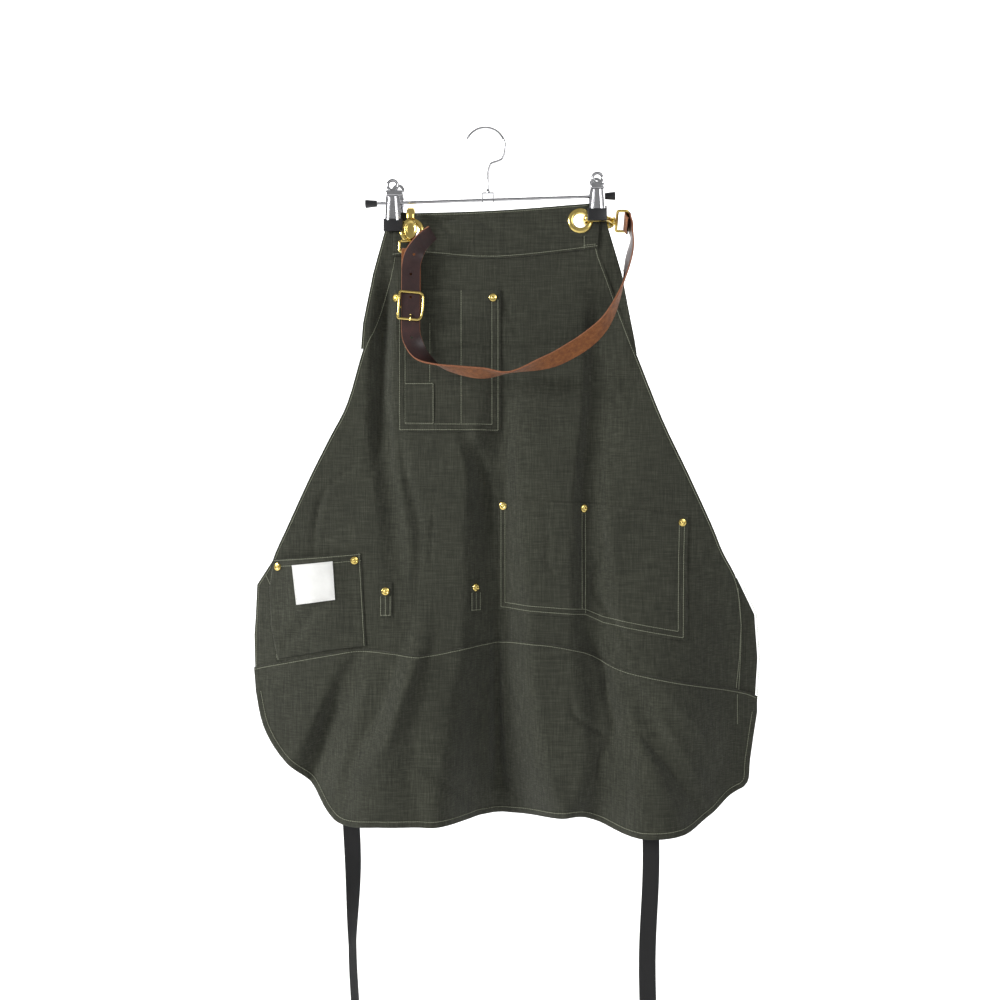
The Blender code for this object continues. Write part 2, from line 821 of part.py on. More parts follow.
def pockets():
    cloth_piece("bib_pocket", BIB_POCKET, 1)
    cloth_piece("pencil_pocket", PENCIL_POCKET, 2)
    cloth_piece("thigh_pocket", THIGH_POCKET, 1)
    hip = lowered(HIP_POCKET, -SEAM_CLEAR / APRON_LENGTH)
    cloth_piece("hip_pocket", hip, 1, bulge=hip_bulge)
    cloth_piece("label", LABEL, 2, kind="label", bulge=hip_bulge)
    for name, outline in TOOL_LOOPS.items():
        cloth_piece(name, outline, 1)


def seat(u, v, layer, bulge, radius):
    """The middle and outward direction of a round piece that rests on the cloth's front."""
    x = x_at(u, v)
    z = z_at(v)
    slope_x = (facet_depth(x + radius, z, bulge) - facet_depth(x - radius, z, bulge)) / 2 / radius
    slope_z = (facet_depth(x, z + radius, bulge) - facet_depth(x, z - radius, bulge)) / 2 / radius
    outward = Vector((slope_x, -1, slope_z)).normalized()
    middle = Vector((x, facet_depth(x, z, bulge) - layer * LAYER, z))
    lift = 0.0
    for ring in (0.5, 1.0):
        for k in range(12):
            angle = math.radians(30 * k)
            dx = 1.1 * ring * radius * math.cos(angle)
            dz = 1.1 * ring * radius * math.sin(angle)
            y = facet_depth(x + dx, z + dz, bulge) - layer * LAYER
            lift = max(lift, (Vector((x + dx, y, z + dz)) - middle).dot(outward))
    return middle + outward * (lift + GAP), outward


def rivets():
    """Domed caps: a low disc whose top is drawn in and raised."""
    disc = RIVET_HEIGHT * 0.45
    for name, (u, v) in RIVETS.items():
        bulge = hip_bulge if "hip" in name else flat
        foot, outward = seat(u, v, 1, bulge, RIVET_RADIUS)
        bm = bmesh.new()
        bmesh.ops.create_cone(
            bm,
            cap_ends=True,
            segments=12,
            radius1=RIVET_RADIUS,
            radius2=RIVET_RADIUS,
            depth=disc,
        )
        top = [f for f in bm.faces if f.normal.z > 0.9][0]
        bmesh.ops.inset_region(bm, faces=[top], thickness=RIVET_INSET)
        bmesh.ops.translate(bm, verts=top.verts, vec=(0, 0, RIVET_HEIGHT - disc))
        turn = outward.to_track_quat("Z", "Y").to_matrix().to_4x4()
        bm.transform(Matrix.Translation(foot + outward * disc / 2) @ turn)
        mesh = bpy.data.meshes.new(name)
        bm.to_mesh(mesh)
        bm.free()
        finish(new_object(mesh), name, "brass")


def grommets():
    """Two-sided eyelets through the band and the panel."""
    bore = GROMMET_BORE / 2
    barrel = bore + GROMMET_BARREL
    front = LAYER + GAP
    back = CLOTH + GAP
    profile = (
        (bore, front + GROMMET_FLANGE / 2),
        (bore + GROMMET_LIP, front + GROMMET_FLANGE),
        (GROMMET_RADIUS - GROMMET_EDGE, front + GROMMET_FLANGE),
        (GROMMET_RADIUS, front),
        (barrel, front),
        (barrel, -back),
        (GROMMET_RADIUS, -back),
        (GROMMET_RADIUS - GROMMET_EDGE, -back - GROMMET_FLANGE),
        (bore + GROMMET_LIP, -back - GROMMET_FLANGE),
        (bore, -back - GROMMET_FLANGE / 2),
    )
    for side, (u, v) in GROMMETS.items():
        ring = turned(profile, sides=18)
        ring.data.transform(Matrix.Rotation(math.radians(90), 4, "X"))
        ring.data.transform(Matrix.Translation((x_at(u, v), 0, z_at(v))))
        finish(ring, f"grommet_{side}", "brass")


def bar_z(x):
    return -BAR_DROP + (x - STEM_SIDE) * math.tan(math.radians(BAR_TILT))


def clip_x(side):
    """Where a clip stands along the bar, outward of its grommet."""
    grommet_x = x_at(*GROMMETS[side])
    return grommet_x - CLIP_ASIDE_LEFT if side == "left" else grommet_x + CLIP_ASIDE_RIGHT


def hanger():
    centre = Vector((0, 0, HOOK_WIRE / 2 - HOOK_RADIUS))
    count = 16
    points = []
    for k in range(count + 1):
        angle = math.radians(HOOK_FROM + (HOOK_TO - HOOK_FROM) * k / count)
        points.append(centre + HOOK_RADIUS * Vector((math.cos(angle), 0, math.sin(angle))))
    last = points[-1]
    bend = Vector((STEM_SIDE + STEM_BOW, 0, -0.8 * STEM_TOP))
    shoulder = Vector((STEM_SIDE, 0, -STEM_TOP))
    run = through([points[-2], last, (last + bend) / 2, bend, shoulder], 2)[3:]
    foot = Vector((STEM_SIDE, 0, -STEM_FOOT))
    finish(wire(points + run + [foot], HOOK_WIRE, resolution=3), "hanger_hook", "chrome")
    nut_top = Vector((STEM_SIDE, 0, -STEM_FOOT - GAP))
    nut_foot = nut_top - Vector((0, 0, NUT_HEIGHT))
    finish(cylinder(nut_foot, nut_top, NUT_RADIUS, NUT_TOP_RADIUS, 6), "hanger_nut", "chrome")
    hanger_bracket(nut_foot.z - GAP)
    hanger_bar()


def hanger_bracket(top):
    half = BRACKET_WIDTH / 2
    inner = half - BRACKET_WALL
    foot = top - BRACKET_HEIGHT
    roof = top - BRACKET_WALL
    loop = (
        (STEM_SIDE - half, foot),
        (STEM_SIDE - half, top),
        (STEM_SIDE + half, top),
        (STEM_SIDE + half, foot),
        (STEM_SIDE + inner, foot),
        (STEM_SIDE + inner, roof),
        (STEM_SIDE - inner, roof),
        (STEM_SIDE - inner, foot),
    )
    bracket = slab([loop], BRACKET_DEPTH)
    ends = [Vector((x, 0, bar_z(x))) for x in (STEM_SIDE - half * 2, STEM_SIDE + half * 2)]
    bore = cylinder(ends[0], ends[1], BAR_DIAMETER / 2 + GAP, sides=16)
    finish(combine(bracket, bore, "DIFFERENCE"), "hanger_bracket", "chrome")


def hanger_bar():
    left_x = clip_x("left") - BAR_PAST_LEFT
    left = Vector((left_x, 0, bar_z(left_x)))
    right = Vector((left_x + bar_reach(), 0, bar_z(left_x + bar_reach())))
    along = (right - left).normalized()
    finish(cylinder(left, right, BAR_DIAMETER / 2, sides=16), "hanger_bar", "chrome")
    for side, end, outward in (("left", left, -along), ("right", right, along)):
        start = end - outward * CAP_LAP
        cap = cylinder(start, start + outward * CAP_LENGTH, CAP_NARROW, CAP_WIDE, 16)
        bore = cylinder(start - outward * CAP_LAP, end + outward * GAP, CAP_BORE / 2, sides=16)
        finish(combine(cap, bore, "DIFFERENCE"), f"bar_end_{side}", "rubber")


def arc(radius, height, first, last, step):
    """Points round a centre that lies at a height on Z, in X and Z."""
    points = []
    for angle in range(first, last, step):
        turn = math.radians(angle)
        points.append((radius * math.cos(turn), height + radius * math.sin(turn)))
    return points


def clip_plate(clip, face, inner, grown=0.0):
    """One sprung plate of a clip, with the ring at its top; face is -1 in front and 1 behind."""
    foot = PLATE_FOOT / 2 + grown
    shoulder = PLATE_SHOULDER / 2 + grown
    waist = PLATE_WAIST / 2 + grown
    sunk = PAD_HEIGHT - PLATE_SUNK - grown
    height = PAD_HEIGHT + clip.drop + RING_RISE
    ring = arc(PLATE_RING, height, -40, 221, 20)
    hole = arc(PLATE_HOLE, height, 0, 360, 30)
    band = PAD_HEIGHT + clip.drop + BAND_RISE
    right = [(foot, sunk), (foot, PAD_HEIGHT), (shoulder, band - PLATE_STEP), (waist, band)]
    left = [(-x, z) for x, z in reversed(right)]
    plate = slab([right + ring + left, hole], PLATE_THICKNESS + 2 * grown)
    start = abs(inner) + PAD_BACKING + GAP + PLATE_THICKNESS / 2
    lean = math.atan2(max(PLATE_SPREAD - start, PLATE_SLOPE), height)
    plate.data.transform(Matrix.Rotation(-face * lean, 4, "X"))
    if face > 0:
        plate.data.transform(Matrix.Rotation(math.radians(clip.back_lean), 4, "Y"))
    foot_z = bar_z(clip.x) - clip.drop - PAD_HEIGHT
    plate.data.transform(Matrix.Translation((clip.x, face * start, foot_z)))
    return plate, start, lean


def hanger_clips():
    flange = LAYER + GAP + GROMMET_FLANGE
    behind = 2 * LAYER + GROMMET_FLANGE
    arm = SNAP_WIRE / 2 - min(station.out for station in SNAP_ARM) * LEVER_OUT
    clips = (
        Clip("left", clip_x("left"), CLIP_DROP_LEFT, flange + GAP, CLIP_LEAN),
        Clip("right", clip_x("right"), CLIP_DROP_RIGHT, arm + GAP, 0.0),
    )
    for clip in clips:
        top = bar_z(clip.x) - clip.drop
        half = PAD_WIDTH / 2
        seats = []
        for word, face, inner in (("front", -1, clip.front), ("back", 1, behind + GAP)):
            near = face * inner
            far = face * (inner + PAD_THICKNESS)
            low = (clip.x - half, min(near, far), top - PAD_HEIGHT)
            high = (clip.x + half, max(near, far), top)
            plate, start, lean = clip_plate(clip, face, inner)
            slot = clip_plate(clip, face, inner, grown=GAP)[0]
            pad = combine(block(low, high), slot, "DIFFERENCE")
            finish(pad, f"clip_{clip.side}_{word}_pad", "rubber")
            finish(plate, f"clip_{clip.side}_{word}_plate", "chrome")
            seats.append((face, start, math.tan(lean)))
        clip_band(clip, seats)
        clip_runner(clip, seats)


def clip_band(clip, seats):
    """The spring band that holds a clip's two plates together above the bar."""
    climb = PAD_HEIGHT + clip.drop + BAND_RISE + BAND_HEIGHT
    shift = math.sin(math.radians(clip.back_lean)) * climb
    half = PLATE_WAIST / 2 + 2 * GAP + shift / 2
    middle = clip.x + shift / 2
    foot = bar_z(clip.x) + BAND_RISE
    off_plate = PLATE_THICKNESS / 2 + GAP
    front, back = [face * (start + climb * lean + off_plate) for face, start, lean in seats]
    outer = block(
        (middle - half - BAND_WALL, front - BAND_WALL, foot),
        (middle + half + BAND_WALL, back + BAND_WALL, foot + BAND_HEIGHT),
    )
    inner = block(
        (middle - half, front, foot - BAND_HEIGHT),
        (middle + half, back, foot + 2 * BAND_HEIGHT),
    )
    finish(combine(outer, inner, "DIFFERENCE"), f"clip_{clip.side}_spring", "chrome")


def clip_runner(clip, seats):
    """The block between a clip's plates that slides along the bar."""
    climb = PAD_HEIGHT + clip.drop - RUNNER_HEIGHT / 2
    middle = bar_z(clip.x)
    off_plate = PLATE_THICKNESS * 0.55 + GAP
    front, back = [face * (start + climb * lean - off_plate) for face, start, lean in seats]
    body = block(
        (clip.x - RUNNER_LENGTH / 2, front, middle - RUNNER_HEIGHT / 2),
        (clip.x + RUNNER_LENGTH / 2, back, middle + RUNNER_HEIGHT / 2),
    )
    ends = [Vector((clip.x + dx, 0, bar_z(clip.x + dx))) for dx in (-RUNNER_LENGTH, RUNNER_LENGTH)]
    bore = cylinder(ends[0], ends[1], BAR_DIAMETER / 2 + GAP, sides=16)
    finish(combine(body, bore, "DIFFERENCE"), f"clip_{clip.side}_runner", "chrome")


def snap_frame(side):
    """The snap hook's own axes in the world: along to its nose, out to its lever, and across."""
    u, v = GROMMETS[side]
    grommet = Vector((x_at(u, v), 0, z_at(v)))
    if side == "left":
        origin = grommet - Vector((0, 0, SNAP_LEFT_DROP))
        return origin, Vector((0, 0, 1)), Vector((0, -1, 0)), Vector((1, 0, 0))
    origin = grommet + Vector((SNAP_RIGHT_SIDE, 0, SNAP_RIGHT_RISE))
    return origin, Vector((-1, 0, 0)), Vector((0, 1, 0)), Vector((0, 0, 1))


def snap_hook(side):
    origin, along, out, across = snap_frame(side)
    sizes = [(a * SNAP_LENGTH, o * LEVER_OUT, w * SNAP_WIDTH) for a, o, w in SNAP_ARM]
    stations = []
    for point in through(sizes, 2):
        centre = origin + along * point[0] + out * point[1]
        stations.append(Station(centre, across, point[2], SNAP_WIRE))
    neck = origin + out * SNAP_NECK_OUT + along * GAP
    collar = cylinder(neck, neck + along * SNAP_COLLAR_LENGTH, SNAP_COLLAR, sides=16)
    finish(combine(loft(stations, OVAL), collar, "UNION"), f"snap_hook_{side}", "brass")
    snap_lever(side)
    snap_eye(side)


def snap_lever(side):
    """The sprung thumb lever, a dished oval, with its origin on its pivot."""
    origin, along, out, across = snap_frame(side)
    middle = (LEVER_FROM + LEVER_TO) / 2
    half = (LEVER_TO - LEVER_FROM) / 2
    outline = []
    for k in range(16):
        angle = 2 * math.pi * k / 16
        outline.append((LEVER_WIDTH / 2 * math.cos(angle), middle + half * math.sin(angle)))
    plate = slab([outline], LEVER_THICKNESS)
    bm = bmesh.new()
    bmesh.ops.create_uvsphere(bm, u_segments=12, v_segments=8, radius=1.0)
    bmesh.ops.scale(bm, verts=bm.verts, vec=(LEVER_WIDTH * 0.36, LEVER_DISH, half * 0.76))
    bmesh.ops.translate(bm, verts=bm.verts, vec=(0, -LEVER_THICKNESS / 2, middle))
    mesh = bpy.data.meshes.new("dish")
    bm.to_mesh(mesh)
    bm.free()
    lever = combine(plate, new_object(mesh), "DIFFERENCE")
    sideways = along.cross(out)
    lever.data.transform(Matrix.Translation((0, 0, -LEVER_PIVOT)))
    lever.data.transform(Matrix((sideways, -out, along)).transposed().to_4x4())
    lever.location = origin + along * LEVER_PIVOT + out * LEVER_OUT
    finish(lever, f"snap_lever_{side}", "brass")


def eye_across(side, along, across):
    """The way the swivel eye's bars lie."""
    turn = EYE_TURN if side == "right" else 0.0
    return Matrix.Rotation(math.radians(turn), 3, along) @ across


def snap_eye(side):
    """The swivel eye that carries the strap: a wire loop with square corners."""
    origin, along, out, across = snap_frame(side)
    wide = eye_across(side, along, across)
    centre = origin + out * SNAP_NECK_OUT - along * (EYE_HEIGHT + EYE_WIRE) / 2
    half_width = EYE_WIDTH / 2 - EYE_CORNER
    half_height = EYE_HEIGHT / 2 - EYE_CORNER
    points = []
    for corner, (a, b) in enumerate(((1, 1), (-1, 1), (-1, -1), (1, -1))):
        for k in range(3):
            angle = math.radians(90 * corner + 45 * k)
            dx = a * half_width + EYE_CORNER * math.cos(angle)
            dz = b * half_height + EYE_CORNER * math.sin(angle)
            points.append(centre + wide * dx + along * dz)
    finish(wire(points, EYE_WIRE, closed=True), f"snap_eye_{side}", "brass")


def eye_bar(side):
    """The middle and direction of the eye's far bar, where the strap goes round."""
    origin, along, out, across = snap_frame(side)
    centre = origin + out * SNAP_NECK_OUT - along * (EYE_HEIGHT + EYE_WIRE / 2)
    return centre, eye_across(side, along, across)


def round_bar(middle, start, normal, radius, first, last, steps):
    """Points round a bar, from one angle to another."""
    points = []
    for k in range(steps + 1):
        angle = math.radians(first + (last - first) * k / steps)
        points.append(middle + radius * (start * math.cos(angle) + normal * math.sin(angle)))
    return points


def buckle_place():
    return eye_bar("left")[0] - Vector((0, 0, BUCKLE_DROP))


def buckle_strap():
    """The short strap from the left eye to the buckle's middle bar, its ends meeting in front."""
    top = eye_bar("left")[0]
    foot = buckle_place()
    toward = Vector((0, -1, 0))
    up = Vector((0, 0, 1))
    over = EYE_WIRE / 2 + GAP + STRAP_THICKNESS / 2
    under = BUCKLE_BAR / 2 + GAP + STRAP_THICKNESS / 2
    meet = (top.z + foot.z) / 2
    front = toward * (over + under) / 2
    start = Vector((top.x, top.y, meet + GAP)) + front
    end = Vector((top.x, top.y, meet - GAP)) + front
    points = [start, top + toward * over - up * TURN_RISE]
    points += round_bar(top, toward, up, over, 0, 180, 8)
    points += round_bar(foot, -toward, -up, under, 0, 180, 8)
    points += [foot + toward * under + up * TURN_RISE, end]
    stations = [Station(p, Vector((1, 0, 0)), STRAP_WIDTH, STRAP_THICKNESS) for p in points]
    finish(loft(stations, RECTANGLE), "buckle_strap", "leather")


def strap_front():
    """How far forward the long strap's middle lies where it passes over the buckle's bar."""
    return max(BUCKLE_BAR, EYE_WIRE) / 2 + 2 * GAP + 1.5 * STRAP_THICKNESS


def strap_line():
    """The long strap's middle line and the way its width lies, from its tip to its sewn end."""
    bar = buckle_place()
    front = bar.y - strap_front()
    rows = []
    for tail in STRAP_TIP:
        lift = Vector((tail.aside * STRAP_WIDTH, -tail.lift * STRAP_LIFT, tail.up * STRAP_TAIL))
        rows.append((Vector((bar.x, front, bar.z)) + lift, Vector(tail.face)))
    anchor = Vector((bar.x, front, bar.z - 0.40 * STRAP_TAIL))
    eye, eye_wide = eye_bar("right")
    eye_wide = -eye_wide
    side = Vector((1, 0, 0))
    down = side.cross(eye_wide)
    if down.z > 0:
        down = -down
    over = EYE_WIRE / 2 + GAP + STRAP_THICKNESS / 2
    landing = eye + side * (over + LOOP_SLACK) + (down - Vector((0, 0, 0.3))) * STRAP_LOOP
    for run in STRAP_RUN:
        place = anchor.lerp(landing, run.across)
        place += Vector((0, -run.bow * STRAP_BOW, -run.sag * STRAP_SAG))
        rows.append((place, Vector(run.face)))
    rows.append((landing, eye_wide))
    rows.append((eye + side * over + down * 0.4 * STRAP_LOOP, eye_wide))
    for point in round_bar(eye, side, -down, over, 0, 180, 6):
        rows.append((point, eye_wide))
    back = over - 0.4 * LOOP_SLACK
    tucked = over - STRAP_THICKNESS - 0.8 * LOOP_SLACK
    rows.append((eye - side * back + down * 0.3 * STRAP_LOOP, eye_wide))
    rows.append((eye + side * tucked + down * 0.7 * STRAP_LOOP, eye_wide))
    return rows


def neck_strap():
    rows = strap_line()
    centres = through([row[0] for row in rows], 2)
    faces = through([row[1] for row in rows], 2)
    stations = []
    for centre, face in zip(centres, faces):
        stations.append(Station(centre, face.normalized(), STRAP_WIDTH, STRAP_THICKNESS))
    strap = loft(stations, RECTANGLE)
    for number in HOLES:
        strap = combine(strap, strap_hole(number), "DIFFERENCE")
    finish(strap, "neck_strap", "leather")


def strap_hole(number):
    """A cutter for one of the strap's holes, counted up from the buckle's bar."""
    height = buckle_place().z + number * HOLE_PITCH - HOLE_START
    line = through([row[0] for row in strap_line()[: len(STRAP_TIP) + 2]], 6)
    nearest = min(line, key=lambda point: abs(point.z - height))
    reach = Vector((0, 3 * STRAP_THICKNESS, 0))
    return cylinder(nearest - reach, nearest + reach, STRAP_HOLE / 2, sides=10)


def buckle():
    bar = buckle_place()
    frame_y = bar.y - strap_front() - STRAP_THICKNESS / 2 - GAP - BUCKLE_WIRE / 2
    half_width = BUCKLE_WIDTH / 2
    half_height = BUCKLE_HEIGHT / 2
    tilt = Matrix.Rotation(math.radians(-BUCKLE_TURN), 3, "Y")
    large = BUCKLE_CORNER
    small = BUCKLE_CORNER / 4
    corners = (
        (half_width, half_height - large),
        (half_width - small, half_height - large / 3),
        (half_width - large * 5 / 6, half_height),
        (-half_width + small, half_height),
        (-half_width, half_height - small),
        (-half_width, -half_height + small),
        (-half_width + small, -half_height),
        (half_width - large * 5 / 6, -half_height),
        (half_width - small, -half_height + large / 3),
        (half_width, -half_height + large),
        (half_width + BUCKLE_BOW, 0),
    )
    points = [Vector((bar.x, frame_y, bar.z)) + tilt @ Vector((x, 0, z)) for x, z in corners]
    frame = wire(points, BUCKLE_WIRE, closed=True)
    ears = (
        Vector((bar.x - half_width, frame_y, bar.z)),
        Vector((bar.x - half_width, bar.y - BUCKLE_EAR, bar.z)),
        Vector((bar.x - half_width + BUCKLE_EAR, bar.y, bar.z)),
        Vector((bar.x + half_width - BUCKLE_EAR, bar.y, bar.z)),
        Vector((bar.x + half_width, bar.y - BUCKLE_EAR, bar.z)),
        Vector((bar.x + half_width, frame_y, bar.z)),
    )
    finish(combine(frame, wire(ears, BUCKLE_BAR), "UNION"), "buckle_frame", "brass")
    buckle_tongue(bar, frame_y, half_height)


def buckle_tongue(bar, frame_y, half_height):
    """The tongue from the strap's hole down over the frame's lower bar."""
    hole_z = bar.z - TONGUE_DROP
    strap_y = bar.y - strap_front() - STRAP_THICKNESS / 2 - GAP - TONGUE / 2
    front = frame_y - BUCKLE_WIRE / 2 - GAP - TONGUE / 2
    points = (
        (bar.x, strap_y, hole_z + TONGUE_RISE),
        (bar.x, strap_y, hole_z),
        (bar.x, (strap_y + front) / 2, hole_z - TONGUE_STEP / 2),
        (bar.x, front, hole_z - TONGUE_STEP),
        (bar.x, front, bar.z - half_height - BUCKLE_WIRE * 0.7),
    )
    finish(wire(points, TONGUE), "buckle_tongue", "brass")


def resting_line(x, top, foot):
    """Depths down the cloth's back that a taut tie keeps, as (height, depth) points."""
    across = [x + TIE_WIDTH / 2 * share for share in (-1, -0.6, -0.2, 0.2, 0.6, 1)]
    samples = []
    z = top
    while z > foot:
        samples.append((z, max(facet_depth(place, z) for place in across)))
        z -= TIE_STEP / 4
    kept = []
    for sample in samples:
        while len(kept) > 1 and crosses(kept[-2], kept[-1], sample):
            kept.pop()
        kept.append(sample)
    return kept


def crosses(first, middle, last):
    """Whether the middle point lies inside a line from the first to the last."""
    run = (first[0] - middle[0]) / (first[0] - last[0])
    return middle[1] <= first[1] + run * (last[1] - first[1])


def waist_ties():
    """Webbing sewn to the apron's back, resting down it and hanging free below the hem."""
    outward = CLOTH + GAP + TIE_THICKNESS / 2
    for tie in TIES:
        x = x_at(tie.u, tie.hem)
        hem = z_at(tie.hem)
        stations = []
        for z, depth in resting_line(x, hem + TIE_RISE, hem):
            place = Vector((x, depth + outward, z))
            stations.append(Station(place, Vector((1, 0, 0)), TIE_WIDTH, TIE_THICKNESS))
        deepest = stations[-1].centre.y
        reach = -TIE_END - hem
        steps = int(-reach / TIE_STEP)
        for k in range(1, steps + 1):
            share = k / steps
            angle = math.radians(tie.twist * min(1.0, 1.6 * share))
            across = Vector((math.cos(angle), math.sin(angle), 0))
            drift = tie.drift * TIE_WIDTH * share
            place = Vector((x + drift, deepest, hem + reach * share))
            stations.append(Station(place, across, TIE_WIDTH, TIE_THICKNESS))
        finish(loft(stations, RECTANGLE), f"waist_tie_{tie.side}", "webbing")


def main():
    clear_scene()
    parts_collection()
    apron_panels()
    pockets()
    rivets()
    grommets()
    hanger()
    hanger_clips()
    for side in ("left", "right"):
        snap_hook(side)
    buckle_strap()
    neck_strap()
    buckle()
    waist_ties()


main()
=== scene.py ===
"""The looks of the canvas work apron and its clip hanger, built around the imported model.

Metres, +Z up, in the model's frame: the origin is the inside top of the hanger's hook and the
apron's front faces -Y. Outlines, seams and folds are shares (u, v): u across, as a share of the
apron's width from its middle line, and v down, as a share of its length from its top edge.
"""

import math
from collections import namedtuple

import bmesh
import bpy
import numpy as np
from mathutils import Matrix, Vector
from mathutils.geometry import delaunay_2d_cdt

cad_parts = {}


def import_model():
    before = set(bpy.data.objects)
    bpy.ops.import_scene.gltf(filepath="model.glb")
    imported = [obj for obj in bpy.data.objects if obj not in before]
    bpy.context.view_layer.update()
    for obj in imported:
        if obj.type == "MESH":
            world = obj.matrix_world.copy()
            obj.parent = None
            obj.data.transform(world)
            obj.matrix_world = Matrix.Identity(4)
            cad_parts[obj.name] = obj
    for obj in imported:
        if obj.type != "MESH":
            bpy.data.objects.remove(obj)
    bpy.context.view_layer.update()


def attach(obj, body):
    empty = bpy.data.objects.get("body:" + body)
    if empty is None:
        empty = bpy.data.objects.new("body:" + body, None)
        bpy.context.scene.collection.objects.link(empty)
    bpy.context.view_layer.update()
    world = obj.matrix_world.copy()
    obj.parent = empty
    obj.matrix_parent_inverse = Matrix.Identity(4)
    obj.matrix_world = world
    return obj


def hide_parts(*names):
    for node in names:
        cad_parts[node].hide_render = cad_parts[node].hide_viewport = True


# Camera and stage
CAMERA_PLACE = (0.020, -1.5, -0.505)
VIEW_HALF_WIDTH = 0.680  # what the picture spans each way at the apron
SENSOR = 36.0
FLOOR = -1.45
BACKDROP_DEPTH = 3.2
BACKDROP_BEND = 1.2
BACKDROP_HALF = 7.0
WORLD_STRENGTH = 0.38

# Apron
APRON_WIDTH = 0.686
APRON_LENGTH = 0.858
APRON_DROP = 0.1065
APRON_SIDE = 0.020
CLOTH = 0.0011
LAYER = 0.0014
FOLD_DEPTH = 0.060
SIDE_CURL = 0.033
CURL_FROM = 0.26
CURL_STARTS = 0.35
CURL_FULL = 0.65
HIP_BULGE = 0.014
HIP_MOUTH = (-0.364, 0.094, 0.540, 0.710)
SEAM_CLEAR = 0.0015
SEAM_LAP = 0.014

# Meshes
MERGE = 0.00001
ROUND_ANGLE = 50.0

# Cloth mesh
HOLE_SIDES = 40
HOLE_CLEAR = 0.001
GRID = 0.0031
RIM_STEP = 0.0030
RIM_ROWS = (0.0007, 0.0018, 0.0034, 0.0056, 0.0080)
LINE_ROWS = (-0.0016, -0.0007, 0.0007, 0.0016)
HEM_WIDTH = 0.0090
HEM_LIFT = 0.0006
GROOVE = 0.0005
GROOVE_WIDTH = 0.0012
ROUGH_LARGE = 0.0010
ROUGH_SMALL = 0.0003
PUCKER = 0.00035

# Stitches
STITCH_PITCH = 0.0044
STITCH_LENGTH = 0.0031
STITCH_RADIUS = 0.00050
HEM_STITCH = 0.0080
EDGE_STITCH = 0.0030

# Rivets and grommets
RIVET_RADIUS = 0.0055
RIVET_HEIGHT = 0.0022
GROMMET_RADIUS = 0.0170
GROMMET_BORE = 0.0192
GROMMET_FLANGE = 0.0018

# Hanger
HOOK_RADIUS = 0.0272
HOOK_WIRE = 0.0032
HOOK_FROM = 156.0
HOOK_TO = -36.0
STEM_SIDE = 0.0037
STEM_TOP = 0.060
STEM_FOOT = 0.0825
NUT_HEIGHT = 0.0045
NUT_RADIUS = 0.0034
BRACKET_WIDTH = 0.0165
BRACKET_HEIGHT = 0.0135
BRACKET_DEPTH = 0.0090
BRACKET_WALL = 0.0014
BAR_DROP = 0.0970
BAR_TILT = 1.87
BAR_LENGTH = 0.3190
BAR_PAST_LEFT = 0.0278
BAR_DIAMETER = 0.0045
CAP_LENGTH = 0.0160
CAP_NARROW = 0.0042
CAP_WIDE = 0.0058

# Hanger clips
CLIP_LEFT = -0.12485
CLIP_RIGHT = 0.15128
CLIP_DROP_LEFT = 0.0230
CLIP_DROP_RIGHT = 0.0192
CLIP_BACK_LEAN = 5.0
CLEAR_FRONT = 0.0015
CLEAR_BACK = 0.0030
PAD_WIDTH = 0.0260
PAD_HEIGHT = 0.0165
PAD_THICKNESS = 0.0047
PAD_BACKING = 0.0004
PLATE_THICKNESS = 0.0012
PLATE_FOOT = 0.0210
PLATE_SUNK = 0.0040
PLATE_SHOULDER = 0.0190
PLATE_WAIST = 0.0160
PLATE_STEP = 0.0010
PLATE_RING = 0.0087
PLATE_HOLE = 0.0046
RIB_FOOT = 0.0019
RIB_TOP = 0.0015
RIB_FOOT_SHARE = 0.62
RIB_TOP_SHARE = 0.55
RIB_PROUD = 0.35
LIP_WIRE = 0.0018
LIP_SHARE = 0.80
LIP_PROUD = 0.40
PLATE_SPREAD = 0.0120
PLATE_SLOPE = 0.0040
RING_RISE = 0.0210
BAND_RISE = 0.0070
BAND_HEIGHT = 0.0075
BAND_WALL = 0.0010
RUNNER_LENGTH = 0.0110
RUNNER_HEIGHT = 0.0085

# Snap hooks
SNAP_WIRE = 0.0046
SNAP_NECK_OUT = 0.0102
SNAP_LEFT_DROP = 0.0143
SNAP_RIGHT_SIDE = 0.0488
SNAP_RIGHT_RISE = 0.0022
SNAP_COLLAR = 0.0060
SNAP_COLLAR_LENGTH = 0.0037
LEVER_WIDTH = 0.0175
LEVER_FROM = -0.0014
LEVER_TO = 0.0258
LEVER_THICKNESS = 0.0032
LEVER_OUT = 0.0181
LEVER_PIVOT = 0.0040
EYE_WIRE = 0.0040
EYE_WIDTH = 0.0316
EYE_HEIGHT = 0.0140
EYE_CORNER = 0.0025
EYE_TURN = -45.0

# Neck strap and buckle
GAP = 0.0003
STRAP_WIDTH = 0.0254
STRAP_THICKNESS = 0.0022
STRAP_SAG = 0.117
STRAP_BOW = 0.026
STRAP_TAIL = 0.100
STRAP_LIFT = 0.0085
BUCKLE_WIDTH = 0.0320
BUCKLE_HEIGHT = 0.0365
BUCKLE_WIRE = 0.0035
BUCKLE_BAR = 0.0032
BUCKLE_DROP = 0.0746
BUCKLE_TURN = -5.0
BUCKLE_NOTCH = 0.006
BUCKLE_EASE = 0.0015
BUCKLE_STEP = 0.002
BUCKLE_SHOULDER = 0.005
BUCKLE_BOW = 0.0008
BUCKLE_EAR = 0.001
TONGUE = 0.0026
TONGUE_DROP = 0.0130
TONGUE_RISE = 0.0018
TONGUE_STEP = 0.0036
STRAP_HOLE = 0.0036
HOLE_PITCH = 0.0278
HOLE_START = 0.0148
HOLE_REACH = 0.006
HOLE_NUMBERS = (-1, 1, 2, 3)
LANDING_OUT = 0.0015
LANDING_DOWN = 0.020
LANDING_SAG = 0.006

